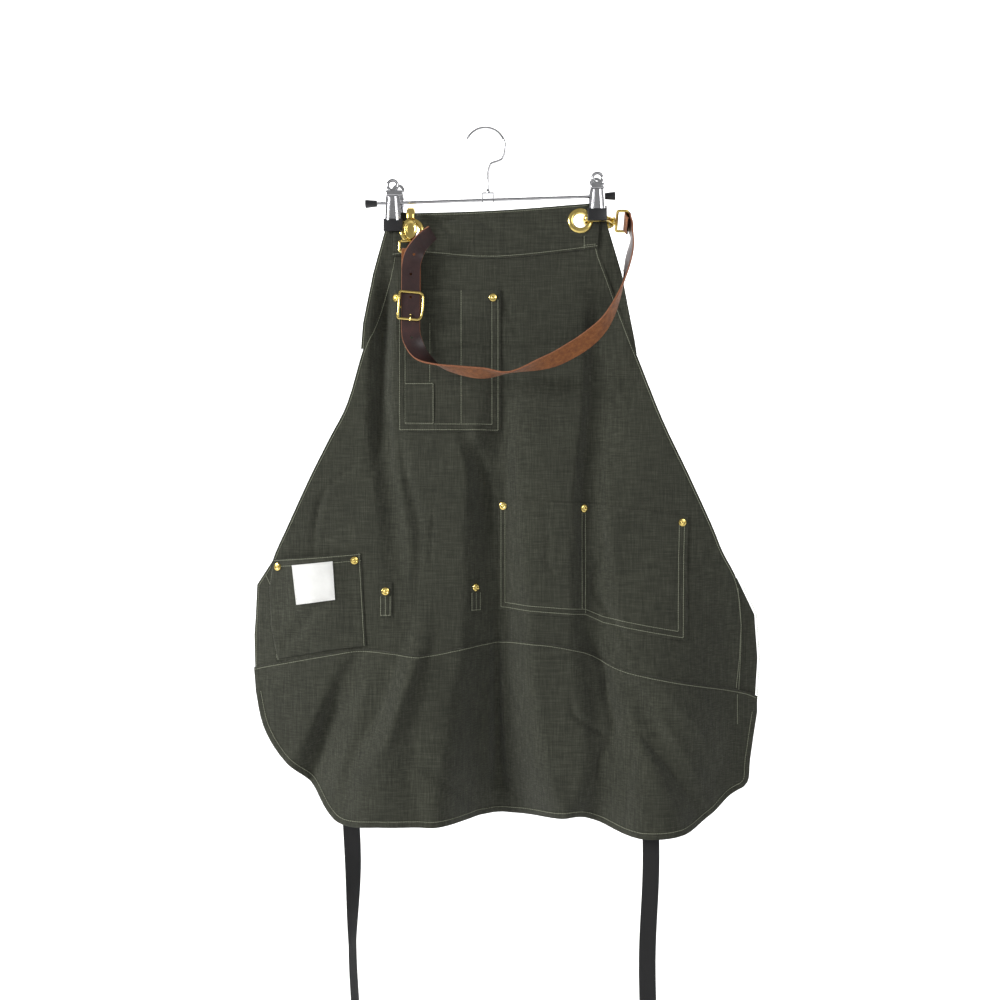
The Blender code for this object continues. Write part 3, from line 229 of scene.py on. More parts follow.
# Waist ties
TIE_WIDTH = 0.0230
TIE_THICKNESS = 0.0015
TIE_TOP = 0.560
TIE_END = 1.215
TIE_TWIST = 72.0
TIE_STEP = 0.010
TIE_LIFT = 0.0004
TIE_TWIST_RATE = 1.6
TIE_SWAY = 0.0016
TIE_WAVES = 7.0
TIE_EDGES = (0.02, 0.3)
HEM_SHARE = 0.975

Fold = namedtuple("Fold", "u v half_width depth")
Crease = namedtuple("Crease", "depth left right path")
Tie = namedtuple("Tie", "side u twist drift")
Clip = namedtuple("Clip", "side x drop front back_lean")
Station = namedtuple("Station", "centre across width thickness")
Run = namedtuple("Run", "across sag bow face")
Tail = namedtuple("Tail", "aside lift up face")
Arm = namedtuple("Arm", "along out width")
Seam = namedtuple("Seam", "piece layer path")
Light = namedtuple("Light", "name place aim size power")

LIGHTS = (
    Light("key", (-2.2, -1.3, 0.3), (0.0, 0.0, -0.5), (0.9, 0.9), 84.0),
    Light("fill", (1.7, -2.4, 0.4), (0.0, 0.0, -0.5), (1.2, 1.2), 22.0),
    Light("wash", (0.0, 1.2, 1.6), (0.0, 3.2, -0.6), (4.0, 1.2), 150.0),
)

# Valleys have a positive depth, a share of FOLD_DEPTH, and ridges a negative one
FOLDS = {
    "central": (
        Fold(0.000, 0.147, 0.052, 0.00),
        Fold(0.004, 0.290, 0.048, 0.12),
        Fold(-0.004, 0.353, 0.048, 0.20),
        Fold(-0.014, 0.422, 0.059, 0.34),
        Fold(-0.006, 0.686, 0.075, 0.50),
        Fold(-0.010, 0.769, 0.091, 0.62),
        Fold(-0.006, 0.897, 0.115, 0.80),
        Fold(0.004, 0.988, 0.143, 1.00),
    ),
    "central_crease": (
        Fold(-0.004, 0.623, 0.016, 0.00),
        Fold(-0.008, 0.702, 0.016, 0.12),
        Fold(-0.006, 0.884, 0.020, 0.20),
        Fold(0.000, 0.940, 0.028, 0.06),
    ),
    "right": (
        Fold(0.198, 0.087, 0.036, 0.00),
        Fold(0.194, 0.238, 0.034, 0.20),
        Fold(0.188, 0.342, 0.034, 0.24),
        Fold(0.178, 0.449, 0.038, 0.27),
        Fold(0.192, 0.678, 0.059, 0.28),
        Fold(0.222, 0.877, 0.059, 0.22),
        Fold(0.194, 0.988, 0.087, 0.40),
    ),
    "left": (
        Fold(-0.222, 0.087, 0.022, 0.00),
        Fold(-0.232, 0.195, 0.026, 0.14),
        Fold(-0.236, 0.290, 0.030, 0.18),
        Fold(-0.228, 0.396, 0.032, 0.17),
        Fold(-0.188, 0.686, 0.032, 0.00),
    ),
    "vee": (
        Fold(-0.083, 0.330, 0.020, 0.00),
        Fold(-0.040, 0.422, 0.030, 0.16),
        Fold(-0.026, 0.504, 0.030, 0.08),
        Fold(-0.020, 0.560, 0.028, 0.00),
    ),
    "lower_left": (
        Fold(-0.262, 0.686, 0.028, 0.00),
        Fold(-0.327, 0.813, 0.048, 0.22),
        Fold(-0.373, 0.905, 0.063, 0.30),
        Fold(-0.397, 0.972, 0.071, 0.30),
    ),
    "ridge": (
        Fold(-0.139, 0.623, 0.028, 0.00),
        Fold(-0.192, 0.778, 0.044, -0.18),
        Fold(-0.234, 0.877, 0.067, -0.30),
        Fold(-0.248, 0.988, 0.099, -0.42),
    ),
    "lobe_left": (
        Fold(-0.139, 0.686, 0.099, 0.00),
        Fold(-0.135, 0.892, 0.123, -0.32),
        Fold(-0.131, 0.988, 0.119, -0.45),
    ),
    "lobe_right": (
        Fold(0.327, 0.560, 0.119, 0.00),
        Fold(0.327, 0.813, 0.147, -0.38),
        Fold(0.317, 1.003, 0.131, -0.70),
    ),
    "lower_right": (
        Fold(0.234, 0.718, 0.024, 0.00),
        Fold(0.317, 0.853, 0.040, 0.18),
        Fold(0.407, 0.988, 0.048, 0.10),
    ),
}

# Fine creases: depth in metres, how far each side reaches in metres, and (u, v, strength) points
CREASES = (
    Crease(0.0096, 0.016, 0.050, ((0.229, 0.100, 0.0), (0.224, 0.200, 0.8), (0.217, 0.300, 1.0),
                                 (0.209, 0.380, 1.0), (0.203, 0.453, 0.9), (0.209, 0.500, 0.0))),
    Crease(0.0080, 0.024, 0.040, ((0.021, 0.240, 0.0), (0.017, 0.310, 0.5), (0.013, 0.453, 1.0),
                                 (0.013, 0.588, 1.0), (0.013, 0.691, 0.9), (0.015, 0.780, 1.0),
                                 (0.015, 0.919, 0.8), (0.041, 0.950, 0.3), (0.059, 0.976, 0.0))),
    Crease(0.0080, 0.020, 0.016, ((-0.216, 0.080, 0.0), (-0.224, 0.151, 1.0), (-0.235, 0.230, 1.0),
                                 (-0.240, 0.294, 1.0), (-0.244, 0.379, 0.8), (-0.254, 0.430, 0.0))),
    Crease(0.0048, 0.012, 0.014, ((-0.204, 0.300, 0.0), (-0.198, 0.379, 1.0), (-0.178, 0.453, 1.0),
                                 (-0.163, 0.506, 0.9), (-0.163, 0.559, 0.7), (-0.174, 0.650, 0.0))),
    Crease(0.0032, 0.008, 0.008, ((-0.225, 0.300, 0.0), (-0.218, 0.368, 1.0), (-0.228, 0.430, 0.0))),
    Crease(0.0029, 0.020, 0.008, ((-0.138, 0.240, 0.0), (-0.072, 0.222, 1.0), (0.034, 0.222, 0.9),
                                 (0.127, 0.217, 0.9), (0.185, 0.200, 0.0))),
    Crease(0.0035, 0.010, 0.014, ((-0.060, 0.282, 0.0), (-0.006, 0.297, 1.0), (0.041, 0.301, 1.0),
                                 (0.127, 0.287, 0.6), (0.160, 0.280, 0.0))),
    Crease(0.0029, 0.008, 0.014, ((0.000, 0.105, 0.0), (0.009, 0.152, 1.0), (0.027, 0.189, 0.7),
                                 (0.040, 0.215, 0.0))),
    Crease(0.0048, 0.008, 0.012, ((0.194, 0.470, 0.0), (0.207, 0.549, 1.0), (0.185, 0.592, 1.0),
                                 (0.203, 0.629, 1.0), (0.245, 0.680, 0.8), (0.290, 0.740, 0.0))),
    Crease(0.0035, 0.006, 0.006, ((0.159, 0.460, 0.0), (0.163, 0.533, 1.0), (0.168, 0.600, 0.0))),
    Crease(0.0080, 0.012, 0.014, ((0.150, 0.650, 0.0), (0.188, 0.699, 0.8), (0.209, 0.736, 1.0),
                                 (0.214, 0.773, 1.0), (0.227, 0.825, 0.9), (0.220, 0.852, 0.6),
                                 (0.197, 0.884, 0.6), (0.203, 0.930, 0.0))),
    Crease(0.0040, 0.007, 0.010, ((0.140, 0.760, 0.0), (0.145, 0.802, 0.8), (0.166, 0.818, 1.0),
                                 (0.207, 0.839, 1.0), (0.230, 0.848, 0.0))),
    Crease(0.0040, 0.008, 0.012, ((0.235, 0.795, 0.0), (0.295, 0.850, 1.0), (0.341, 0.897, 0.9),
                                 (0.395, 0.955, 0.0))),
    Crease(0.0038, 0.008, 0.010, ((0.264, 0.845, 0.0), (0.254, 0.894, 1.0), (0.240, 0.975, 0.2))),
    Crease(0.0080, 0.020, 0.020, ((-0.270, 0.690, 0.0), (-0.317, 0.750, 0.7), (-0.339, 0.805, 1.0),
                                 (-0.360, 0.855, 1.0), (-0.385, 0.930, 0.5))),
    Crease(-0.0064, 0.030, 0.014, ((-0.132, 0.660, 0.0), (-0.163, 0.716, 0.8), (-0.182, 0.757, 1.0),
                                  (-0.201, 0.798, 1.0), (-0.221, 0.845, 0.8), (-0.268, 0.905, 0.0))),
    Crease(0.0035, 0.008, 0.006, ((-0.270, 0.396, 0.0), (-0.316, 0.427, 0.6), (-0.350, 0.455, 0.9),
                                 (-0.367, 0.506, 1.0), (-0.369, 0.556, 0.3))),
    Crease(0.0042, 0.014, 0.014, ((-0.441, 0.705, 0.0), (-0.405, 0.672, 1.0), (-0.364, 0.639, 0.8),
                                 (-0.330, 0.615, 0.0))),
    Crease(0.0022, 0.006, 0.006, ((-0.130, 0.460, 0.0), (-0.131, 0.496, 1.0), (-0.138, 0.533, 1.0),
                                 (-0.133, 0.580, 0.0))),
    Crease(0.0029, 0.008, 0.008, ((0.085, 0.480, 0.0), (0.097, 0.533, 1.0), (0.094, 0.559, 1.0),
                                 (0.120, 0.600, 0.0))),
    Crease(0.0019, 0.006, 0.006, ((0.131, 0.455, 0.0), (0.136, 0.501, 1.0), (0.148, 0.575, 0.0))),
    Crease(0.0016, 0.005, 0.008, ((0.214, 0.383, 0.0), (0.259, 0.386, 1.0), (0.284, 0.398, 0.0))),
    Crease(0.0032, 0.006, 0.010, ((-0.145, 0.030, 0.0), (-0.098, 0.021, 1.0), (-0.072, 0.020, 1.0),
                                 (-0.032, 0.026, 0.8), (0.002, 0.048, 0.0))),
    Crease(0.0032, 0.006, 0.008, ((-0.128, 0.016, 0.0), (-0.108, 0.037, 1.0), (-0.070, 0.050, 0.0))),
    Crease(0.0048, 0.012, 0.024, ((-0.185, 0.872, 0.0), (-0.110, 0.908, 1.0), (-0.059, 0.953, 1.0),
                                 (-0.040, 0.985, 0.4))),
    Crease(-0.0064, 0.024, 0.060, ((0.238, 0.660, 0.0), (0.309, 0.752, 0.9), (0.389, 0.822, 1.0),
                                  (0.470, 0.910, 0.5))),
)

# Edges that two pieces share, from the apron's top downwards or from left to right
LEFT_EDGE = (
    (-0.212, 0.008), (-0.212, 0.079), (-0.233, 0.142), (-0.252, 0.190), (-0.272, 0.227),
    (-0.303, 0.311), (-0.337, 0.365), (-0.377, 0.428), (-0.422, 0.504), (-0.455, 0.561),
    (-0.466, 0.609), (-0.463, 0.666), (-0.450, 0.722),
)
RIGHT_EDGE = (
    (0.198, -0.005), (0.198, 0.024), (0.194, 0.065), (0.218, 0.120), (0.258, 0.206),
    (0.272, 0.235), (0.323, 0.338), (0.377, 0.428), (0.422, 0.504), (0.446, 0.548),
    (0.479, 0.598), (0.492, 0.667), (0.487, 0.771),
)
TOP_EDGE = ((-0.165, 0.010), (-0.006, 0.006), (0.174, -0.005))
SEAM = (
    (-0.498, 0.735), (-0.457, 0.727), (-0.338, 0.708), (-0.268, 0.701), (-0.158, 0.709),
    (-0.073, 0.698), (-0.006, 0.692), (0.079, 0.691), (0.170, 0.705), (0.233, 0.730),
    (0.320, 0.744), (0.481, 0.771), (0.523, 0.783),
)
HEM = (
    (0.523, 0.809), (0.507, 0.883), (0.500, 0.921), (0.463, 0.939), (0.419, 0.967),
    (0.372, 0.984), (0.303, 0.989), (0.241, 0.990), (0.192, 0.979), (0.154, 0.970),
    (0.094, 0.973), (0.000, 0.979), (-0.123, 0.976), (-0.240, 0.975), (-0.310, 0.977),
    (-0.345, 0.960), (-0.383, 0.919), (-0.442, 0.874), (-0.478, 0.828), (-0.494, 0.774),
)
FACINGS = {
    "side_facing_left": (
        (-0.226, 0.011), (-0.228, 0.036), (-0.252, 0.105), (-0.272, 0.184), (-0.276, 0.225),
        (-0.247, 0.219), (-0.226, 0.180), (-0.205, 0.140), (-0.203, 0.012),
    ),
    "side_facing_right": (
        (0.212, -0.003), (0.188, -0.003), (0.186, 0.065), (0.196, 0.120), (0.230, 0.206),
        (0.246, 0.232), (0.272, 0.233), (0.268, 0.211), (0.242, 0.105), (0.212, 0.025),
    ),
    "skirt_facing_left": (
        (-0.455, 0.561), (-0.490, 0.601), (-0.498, 0.683), (-0.496, 0.743), (-0.420, 0.733),
        (-0.420, 0.665), (-0.424, 0.608), (-0.419, 0.576),
    ),
    "skirt_facing_right": (
        (0.477, 0.590), (0.441, 0.601), (0.450, 0.665), (0.450, 0.721), (0.445, 0.785),
        (0.519, 0.793), (0.525, 0.722), (0.518, 0.651),
    ),
}
BAND_EDGE = ((-0.006, 0.082), (-0.149, 0.075))
BIB_POCKET = ((-0.210, 0.131), (0.002, 0.132), (0.002, 0.356), (-0.201, 0.356))
PENCIL_POCKET = ((-0.188, 0.279), (-0.131, 0.279), (-0.131, 0.344), (-0.188, 0.344))
THIGH_POCKET = (
    (-0.004, 0.464), (0.172, 0.469), (0.374, 0.490), (0.371, 0.688), (0.206, 0.666),
    (0.170, 0.652), (-0.004, 0.642),
)
HIP_POCKET = (
    (-0.452, 0.561), (-0.276, 0.550), (-0.266, 0.697), (-0.338, 0.704), (-0.446, 0.721),
    (-0.461, 0.666), (-0.463, 0.609),
)
LABEL = ((-0.413, 0.568), (-0.330, 0.561), (-0.326, 0.622), (-0.405, 0.631))
TOOL_LOOPS = {
    "tool_loop_left": ((-0.240, 0.595), (-0.214, 0.595), (-0.214, 0.650), (-0.240, 0.650)),
    "tool_loop_right": ((-0.059, 0.590), (-0.036, 0.591), (-0.036, 0.644), (-0.058, 0.643)),
}
RIVETS = {
    "rivet_bib_left": (-0.206, 0.144),
    "rivet_bib_right": (-0.014, 0.144),
    "rivet_thigh_left": (0.006, 0.474),
    "rivet_thigh_middle": (0.168, 0.478),
    "rivet_thigh_right": (0.362, 0.500),
    "rivet_hip_left": (-0.444, 0.571),
    "rivet_hip_right": (-0.288, 0.560),
    "rivet_loop_left": (-0.227, 0.609),
    "rivet_loop_right": (-0.048, 0.604),
}
GROMMETS = {"left": (-0.175, 0.038), "right": (0.159, 0.022)}

# Stitch lines that don't follow an edge, with the layer that they are sewn on
SEAMS = (
    Seam("bib_pocket", 1, ((-0.004, 0.147), (-0.004, 0.353), (-0.199, 0.353), (-0.199, 0.147))),
    Seam("bib_pocket", 1, ((-0.016, 0.147), (-0.016, 0.344), (-0.188, 0.344), (-0.188, 0.147))),
    Seam("bib_pocket", 1, ((-0.077, 0.132), (-0.077, 0.343))),
    Seam("bib_pocket", 1, ((-0.139, 0.184), (-0.139, 0.277))),
    Seam("thigh_pocket", 1, ((0.002, 0.472), (0.002, 0.637), (0.170, 0.647), (0.206, 0.660),
                             (0.362, 0.682), (0.366, 0.504))),
    Seam("thigh_pocket", 1, ((0.010, 0.472), (0.010, 0.630), (0.170, 0.639), (0.206, 0.651),
                             (0.352, 0.672), (0.356, 0.504))),
    Seam("thigh_pocket", 1, ((0.164, 0.484), (0.164, 0.638))),
    Seam("thigh_pocket", 1, ((0.171, 0.484), (0.171, 0.645))),
    Seam("main_panel", 0, ((-0.470, 0.585), (-0.458, 0.606), (-0.448, 0.718))),
    Seam("main_panel", 0, ((0.479, 0.606), (0.488, 0.667), (0.484, 0.720), (0.477, 0.768))),
    Seam("lower_panel", 1, ((0.479, 0.778), (0.479, 0.826))),
    Seam("bib_top_band", 1, ((0.167, 0.046), (0.167, 0.066))),
    Seam("bib_top_band", 1, ((0.167, 0.061), (0.190, 0.059))),
)
TIES = (Tie("left", -0.299, TIE_TWIST, 0.006), Tie("right", 0.299, 0.0, -0.004))
SNAP_ARM = (
    Arm(0.0030, 0.0095, 0.0080),
    Arm(0.0069, 0.0050, 0.0070),
    Arm(0.0091, 0.0000, 0.0070),
    Arm(0.0125, -0.0042, 0.0070),
    Arm(0.0175, -0.0064, 0.0090),
    Arm(0.0270, -0.0064, 0.0100),
    Arm(0.0375, -0.0064, 0.0095),
    Arm(0.0413, -0.0054, 0.0088),
    Arm(0.0428, -0.0018, 0.0086),
    Arm(0.0430, 0.0035, 0.0088),
    Arm(0.0420, 0.0100, 0.0100),
    Arm(0.0385, 0.0155, 0.0110),
    Arm(0.0330, 0.0181, 0.0110),
    Arm(0.0272, 0.0181, 0.0110),
)
# Sections from the middle outwards and round: radius and height, as shares of the piece's own
RIVET_PROFILE = (
    (0.0, 0.0), (0.98, 0.0), (1.0, 0.25), (0.93, 0.62), (0.78, 0.82), (0.58, 0.90),
    (0.50, 0.74), (0.40, 0.70), (0.30, 0.92), (0.14, 1.0), (0.0, 1.0),
)
COLLAR_PROFILE = ((0.0, 0.0), (0.80, 0.0), (1.0, 0.25), (1.0, 0.75), (0.80, 1.0), (0.0, 1.0))
LEVER_PROFILE = (
    (0.0, 0.0), (0.92, 0.0), (1.0, 0.25), (0.985, 0.70), (0.93, 0.94), (0.86, 1.0),
    (0.78, 0.90), (0.70, 0.62), (0.50, 0.46), (0.0, 0.42),
)
STRAP_TIP = (
    Tail(1.177, 1.00, 0.969, (0.39, 0.80, -0.46)),
    Tail(0.799, 1.00, 0.892, (0.46, 0.70, -0.54)),
    Tail(0.437, 0.95, 0.788, (0.63, 0.62, -0.45)),
    Tail(0.190, 0.72, 0.680, (0.87, 0.33, -0.36)),
    Tail(0.045, 0.38, 0.560, (0.98, 0.10, -0.15)),
    Tail(0.000, 0.00, 0.340, (1.00, 0.00, 0.00)),
    Tail(0.000, 0.00, 0.000, (1.00, 0.00, 0.00)),
    Tail(0.000, 0.00, -0.340, (1.00, 0.00, 0.00)),
)
STRAP_RUN = (
    Run(0.012, 0.09, 0.02, (0.98, 0.18, 0.10)),
    Run(0.045, 0.27, 0.14, (0.68, 0.60, 0.42)),
    Run(0.122, 0.49, 0.34, (0.28, 0.92, 0.00)),
    Run(0.230, 0.69, 0.55, (0.05, 0.90, -0.35)),
    Run(0.330, 0.84, 0.70, (0.02, 0.88, -0.42)),
    Run(0.447, 0.97, 0.82, (0.02, 0.99, 0.08)),
    Run(0.600, 1.05, 0.95, (0.20, 0.80, -0.50)),
    Run(0.687, 1.06, 1.00, (0.36, 0.66, -0.66)),
    Run(0.800, 1.01, 1.00, (0.46, 0.62, -0.62)),
    Run(0.884, 0.88, 0.92, (0.40, 0.84, -0.30)),
    Run(0.948, 0.60, 0.70, (0.10, 0.98, -0.05)),
    Run(0.984, 0.26, 0.42, (-0.25, 0.94, -0.10)),
)


# Small mesh helpers


def new_object(name, mesh, *materials):
    obj = bpy.data.objects.new(name, mesh)
    bpy.context.scene.collection.objects.link(obj)
    for made in materials:
        obj.data.materials.append(made)
    return obj


def smooth(obj, angle=35.0):
    """Smooth shading, with the edges sharper than the angle kept."""
    obj.data.shade_smooth()
    obj.data.set_sharp_from_angle(angle=math.radians(angle))
    return obj


def frozen(obj):
    """The object's mesh with its modifiers joined in, in world space."""
    depsgraph = bpy.context.evaluated_depsgraph_get()
    mesh = bpy.data.meshes.new_from_object(obj.evaluated_get(depsgraph))
    mesh.transform(obj.matrix_world)
    bm = bmesh.new()
    bm.from_mesh(mesh)
    bmesh.ops.remove_doubles(bm, verts=bm.verts, dist=MERGE)
    bmesh.ops.recalc_face_normals(bm, faces=bm.faces)
    bm.to_mesh(mesh)
    bm.free()
    bpy.data.objects.remove(obj)
    return mesh


def combine(mesh, other, operation):
    """One mesh with the second cut from it or joined to it."""
    obj = new_object("whole", mesh)
    cutter = new_object("cutter", other)
    modifier = obj.modifiers.new(operation, "BOOLEAN")
    modifier.operation = operation
    modifier.solver = "EXACT"
    modifier.object = cutter
    result = frozen(obj)
    bpy.data.objects.remove(cutter)
    return result


def bevelled(mesh, width, segments=2, angle=40.0):
    obj = new_object("bevelled", mesh)
    modifier = obj.modifiers.new("bevel", "BEVEL")
    modifier.width = width
    modifier.segments = segments
    modifier.limit_method = "ANGLE"
    modifier.angle_limit = math.radians(angle)
    return frozen(obj)


def slab(loops, thickness):
    """Flat outlines in X and Z, with holes, of a thickness along Y and centred on Y zero."""
    curve = bpy.data.curves.new("slab", "CURVE")
    curve.dimensions = "2D"
    curve.fill_mode = "BOTH"
    curve.extrude = thickness / 2
    for loop in loops:
        spline = curve.splines.new("POLY")
        spline.points.add(len(loop) - 1)
        spline.use_cyclic_u = True
        for point, (x, z) in zip(spline.points, loop):
            point.co = (x, z, 0, 1)
    obj = new_object("slab", curve)
    obj.rotation_euler = (math.pi / 2, 0, 0)
    bpy.context.view_layer.update()
    return frozen(obj)


def mesh_of(bm, name):
    """The bmesh as a named mesh; the bmesh is freed."""
    mesh = bpy.data.meshes.new(name)
    bm.to_mesh(mesh)
    bm.free()
    return mesh


def cylinder(start, end, radius, far_radius=None, sides=48):
    axis = Vector(end) - Vector(start)
    bm = bmesh.new()
    bmesh.ops.create_cone(
        bm,
        cap_ends=True,
        segments=sides,
        radius1=radius,
        radius2=radius if far_radius is None else far_radius,
        depth=axis.length,
    )
    turn = axis.to_track_quat("Z", "Y").to_matrix().to_4x4()
    bm.transform(Matrix.Translation((Vector(start) + Vector(end)) / 2) @ turn)
    return mesh_of(bm, "cylinder")


def block(low, high):
    bm = bmesh.new()
    bmesh.ops.create_cube(bm, size=1.0)
    bmesh.ops.scale(bm, verts=bm.verts, vec=Vector(high) - Vector(low))
    bmesh.ops.translate(bm, verts=bm.verts, vec=(Vector(high) + Vector(low)) / 2)
    return mesh_of(bm, "block")


def wire(points, diameter, closed=False, resolution=6):
    curve = bpy.data.curves.new("wire", "CURVE")
    curve.dimensions = "3D"
    curve.bevel_depth = diameter / 2
    curve.bevel_resolution = resolution
    curve.use_fill_caps = True
    spline = curve.splines.new("POLY")
    spline.points.add(len(points) - 1)
    spline.use_cyclic_u = closed
    for point, place in zip(spline.points, points):
        point.co = (*place, 1)
    return frozen(new_object("wire", curve))


def turned(profile, sides=64):
    """A closed ring round Z from its section, given as (radius, height) points in order."""
    bm = bmesh.new()
    rings = []
    for k in range(sides):
        angle = 2 * math.pi * k / sides
        rings.append([bm.verts.new((r * math.cos(angle), r * math.sin(angle), h)) for r, h in profile])
    for k in range(sides):
        ring = rings[k]
        following = rings[(k + 1) % sides]
        for i in range(len(profile)):
            j = (i + 1) % len(profile)
            bm.faces.new((ring[i], following[i], following[j], ring[j]))
    bmesh.ops.remove_doubles(bm, verts=bm.verts, dist=MERGE)
    bmesh.ops.recalc_face_normals(bm, faces=bm.faces)
    return mesh_of(bm, "turned")


def through(points, steps):
    """A smooth line through the points, with that many steps between neighbours."""
    line = []
    for i in range(len(points) - 1):
        before = Vector(points[max(i - 1, 0)])
        start = Vector(points[i])
        end = Vector(points[i + 1])
        after = Vector(points[min(i + 2, len(points) - 1)])
        for k in range(steps):
            t = k / steps
            bend = (2 * before - 5 * start + 4 * end - after) * t * t
            swing = (3 * start - before - 3 * end + after) * t * t * t
            line.append(start + ((end - before) * t + bend + swing) / 2)
    line.append(Vector(points[-1]))
    return line


def loft(stations, profile, slots=None):
    """A solid swept through the stations; slots gives each side of the section its material."""
    bm = bmesh.new()
    rings = []
    for i, station in enumerate(stations):
        ahead = stations[min(i + 1, len(stations) - 1)].centre
        behind = stations[max(i - 1, 0)].centre
        tangent = (ahead - behind).normalized()
        across = (station.across - tangent * station.across.dot(tangent)).normalized()
        out = tangent.cross(across)
        ring = []
        for a, b in profile:
            offset = across * a * station.width + out * b * station.thickness
            ring.append(bm.verts.new(station.centre + offset))
        rings.append(ring)
    count = len(profile)
    for first, second in zip(rings, rings[1:]):
        for i in range(count):
            j = (i + 1) % count
            face = bm.faces.new((first[i], first[j], second[j], second[i]))
            face.material_index = slots[i] if slots else 0
    bm.faces.new(rings[0])
    bm.faces.new(rings[-1])
    bmesh.ops.recalc_face_normals(bm, faces=bm.faces)
    return mesh_of(bm, "loft")


def oval(sides):
    return [
        (0.5 * math.cos(2 * math.pi * (k + 0.5) / sides), 0.5 * math.sin(2 * math.pi * (k + 0.5) / sides))
        for k in range(sides)
    ]


def strip_profile(edge_a, edge_b):
    """A flat strip's section with eased edges, as shares of its width and thickness."""
    half = 0.5
    return [
        (-half, -half + edge_b),
        (-half + edge_a, -half),
        (-0.25, -half),
        (0.0, -half),
        (0.25, -half),
        (half - edge_a, -half),
        (half, -half + edge_b),
        (half, half - edge_b),
        (half - edge_a, half),
        (0.25, half),
        (0.0, half),
        (-0.25, half),
        (-half + edge_a, half),
        (-half, half - edge_b),
    ]


# The draped cloth


def x_at(u):
    return APRON_SIDE + u * APRON_WIDTH


def z_at(v):
    return -APRON_DROP - v * APRON_LENGTH


def shares(x, z):
    """The (u, v) of a place in metres."""
    return (x - APRON_SIDE) / APRON_WIDTH, (-APRON_DROP - z) / APRON_LENGTH


def bell(t):
    return np.where(np.abs(t) < 1, (1 - t * t) ** 2, 0.0)


def lattice(x, z, size, seed):
    """Smooth even noise from -1 to 1 at a scale, the same on every run."""
    a = x / size
    b = z / size
    i = np.floor(a)
    j = np.floor(b)
    s = a - i
    t = b - j
    s = s * s * (3 - 2 * s)
    t = t * t * (3 - 2 * t)

    def corner(m, n):
        wave = np.sin(m * 127.1 + n * 311.7 + seed * 74.7) * 43758.5453
        return (wave - np.floor(wave)) * 2 - 1

    top = corner(i, j) * (1 - s) + corner(i + 1, j) * s
    foot = corner(i, j + 1) * (1 - s) + corner(i + 1, j + 1) * s
    return top * (1 - t) + foot * t


def fold_depth(rows, u, v):
    table = np.array([tuple(point) for point in through([tuple(row) for row in rows], 6)])
    order = np.maximum.accumulate(table[:, 1])
    reach = np.minimum(v, order[-1]) if rows[-1].depth else v
    middle = np.interp(reach, order, table[:, 0])
    half_width = np.interp(reach, order, table[:, 2])
    depth = np.interp(reach, order, table[:, 3])
    inside = (reach >= order[0]) & (reach <= order[-1])
    return np.where(inside, depth * bell((u - middle) / half_width), 0.0)


def crease_depth(crease, x, z):
    """A crease's depth at places in metres: steep or broad on each side of its path."""
    points = through([(x_at(u), z_at(v), strength) for u, v, strength in crease.path], 5)
    total = np.zeros_like(x)
    nearest = np.full_like(x, 1.0)
    reach = max(crease.left, crease.right)
    low = np.min([p[:2] for p in points], axis=0) - reach
    high = np.max([p[:2] for p in points], axis=0) + reach
    near = (x > low[0]) & (x < high[0]) & (z > low[1]) & (z < high[1])
    px = x[near]
    pz = z[near]
    best = nearest[near]
    value = total[near]
    for start, end in zip(points, points[1:]):
        dx = end[0] - start[0]
        dz = end[1] - start[1]
        length = dx * dx + dz * dz
        t = np.clip(((px - start[0]) * dx + (pz - start[1]) * dz) / length, 0, 1)
        ox = px - start[0] - t * dx
        oz = pz - start[1] - t * dz
        distance = np.hypot(ox, oz)
        side = dx * oz - dz * ox
        width = np.where(side > 0, crease.right, crease.left)
        strength = start[2] + (end[2] - start[2]) * t
        share = np.sqrt((distance / width) ** 2 + 0.004)
        shape = strength * np.clip(1 - share, 0, 1) ** 1.4
        closer = distance < best
        best = np.where(closer, distance, best)
        value = np.where(closer, shape, value)
    total[near] = value * crease.depth
    return total


def drape(u, v):
    """How far back the main cloth's front face lies at places on the apron."""
    x = x_at(u)
    z = z_at(v)
    depth = np.zeros_like(u)
    for rows in FOLDS.values():
        depth += fold_depth(rows, u, v)
    beyond = np.clip(np.abs(u) - CURL_FROM, 0, None) / (0.5 - CURL_FROM)
    lower = np.clip((v - CURL_STARTS) / (CURL_FULL - CURL_STARTS), 0, 1)
    depth = depth * FOLD_DEPTH + SIDE_CURL * beyond * beyond * lower
    for crease in CREASES:
        depth += crease_depth(crease, x, z)
    depth += ROUGH_LARGE * lattice(x, z * 0.6, 0.055, 1) + ROUGH_SMALL * lattice(x, z, 0.017, 2)
    return depth


def hip_bulge(u, v):
    middle, half_width, top, bottom = HIP_MOUTH
    lower = np.clip((bottom - v) / (bottom - top), 0, 1)
    return HIP_BULGE * bell((u - middle) / half_width) * lower


def flat(u, v):
    return 0.0


def distance_to(lines, x, z):
    """How far each place lies from the nearest of the lines, each a list of (x, z) points."""
    best = np.full_like(x, 1.0)
    for line in lines:
        for start, end in zip(line, line[1:]):
            dx = end[0] - start[0]
            dz = end[1] - start[1]
            length = dx * dx + dz * dz
            if length > 0:
                t = np.clip(((x - start[0]) * dx + (z - start[1]) * dz) / length, 0, 1)
                best = np.minimum(best, np.hypot(x - start[0] - t * dx, z - start[1] - t * dz))
    return best


def inside_loop(loop, x, z):
    inside = np.zeros(x.shape, dtype=bool)
    for (ax, az), (bx, bz) in zip(loop, loop[1:] + loop[:1]):
        if az != bz:
            crossing = ((az > z) != (bz > z)) & (x < (bx - ax) * (z - az) / (bz - az) + ax)
            inside ^= crossing
    return inside


def metres(path):
    return [(x_at(u), z_at(v)) for u, v in path]


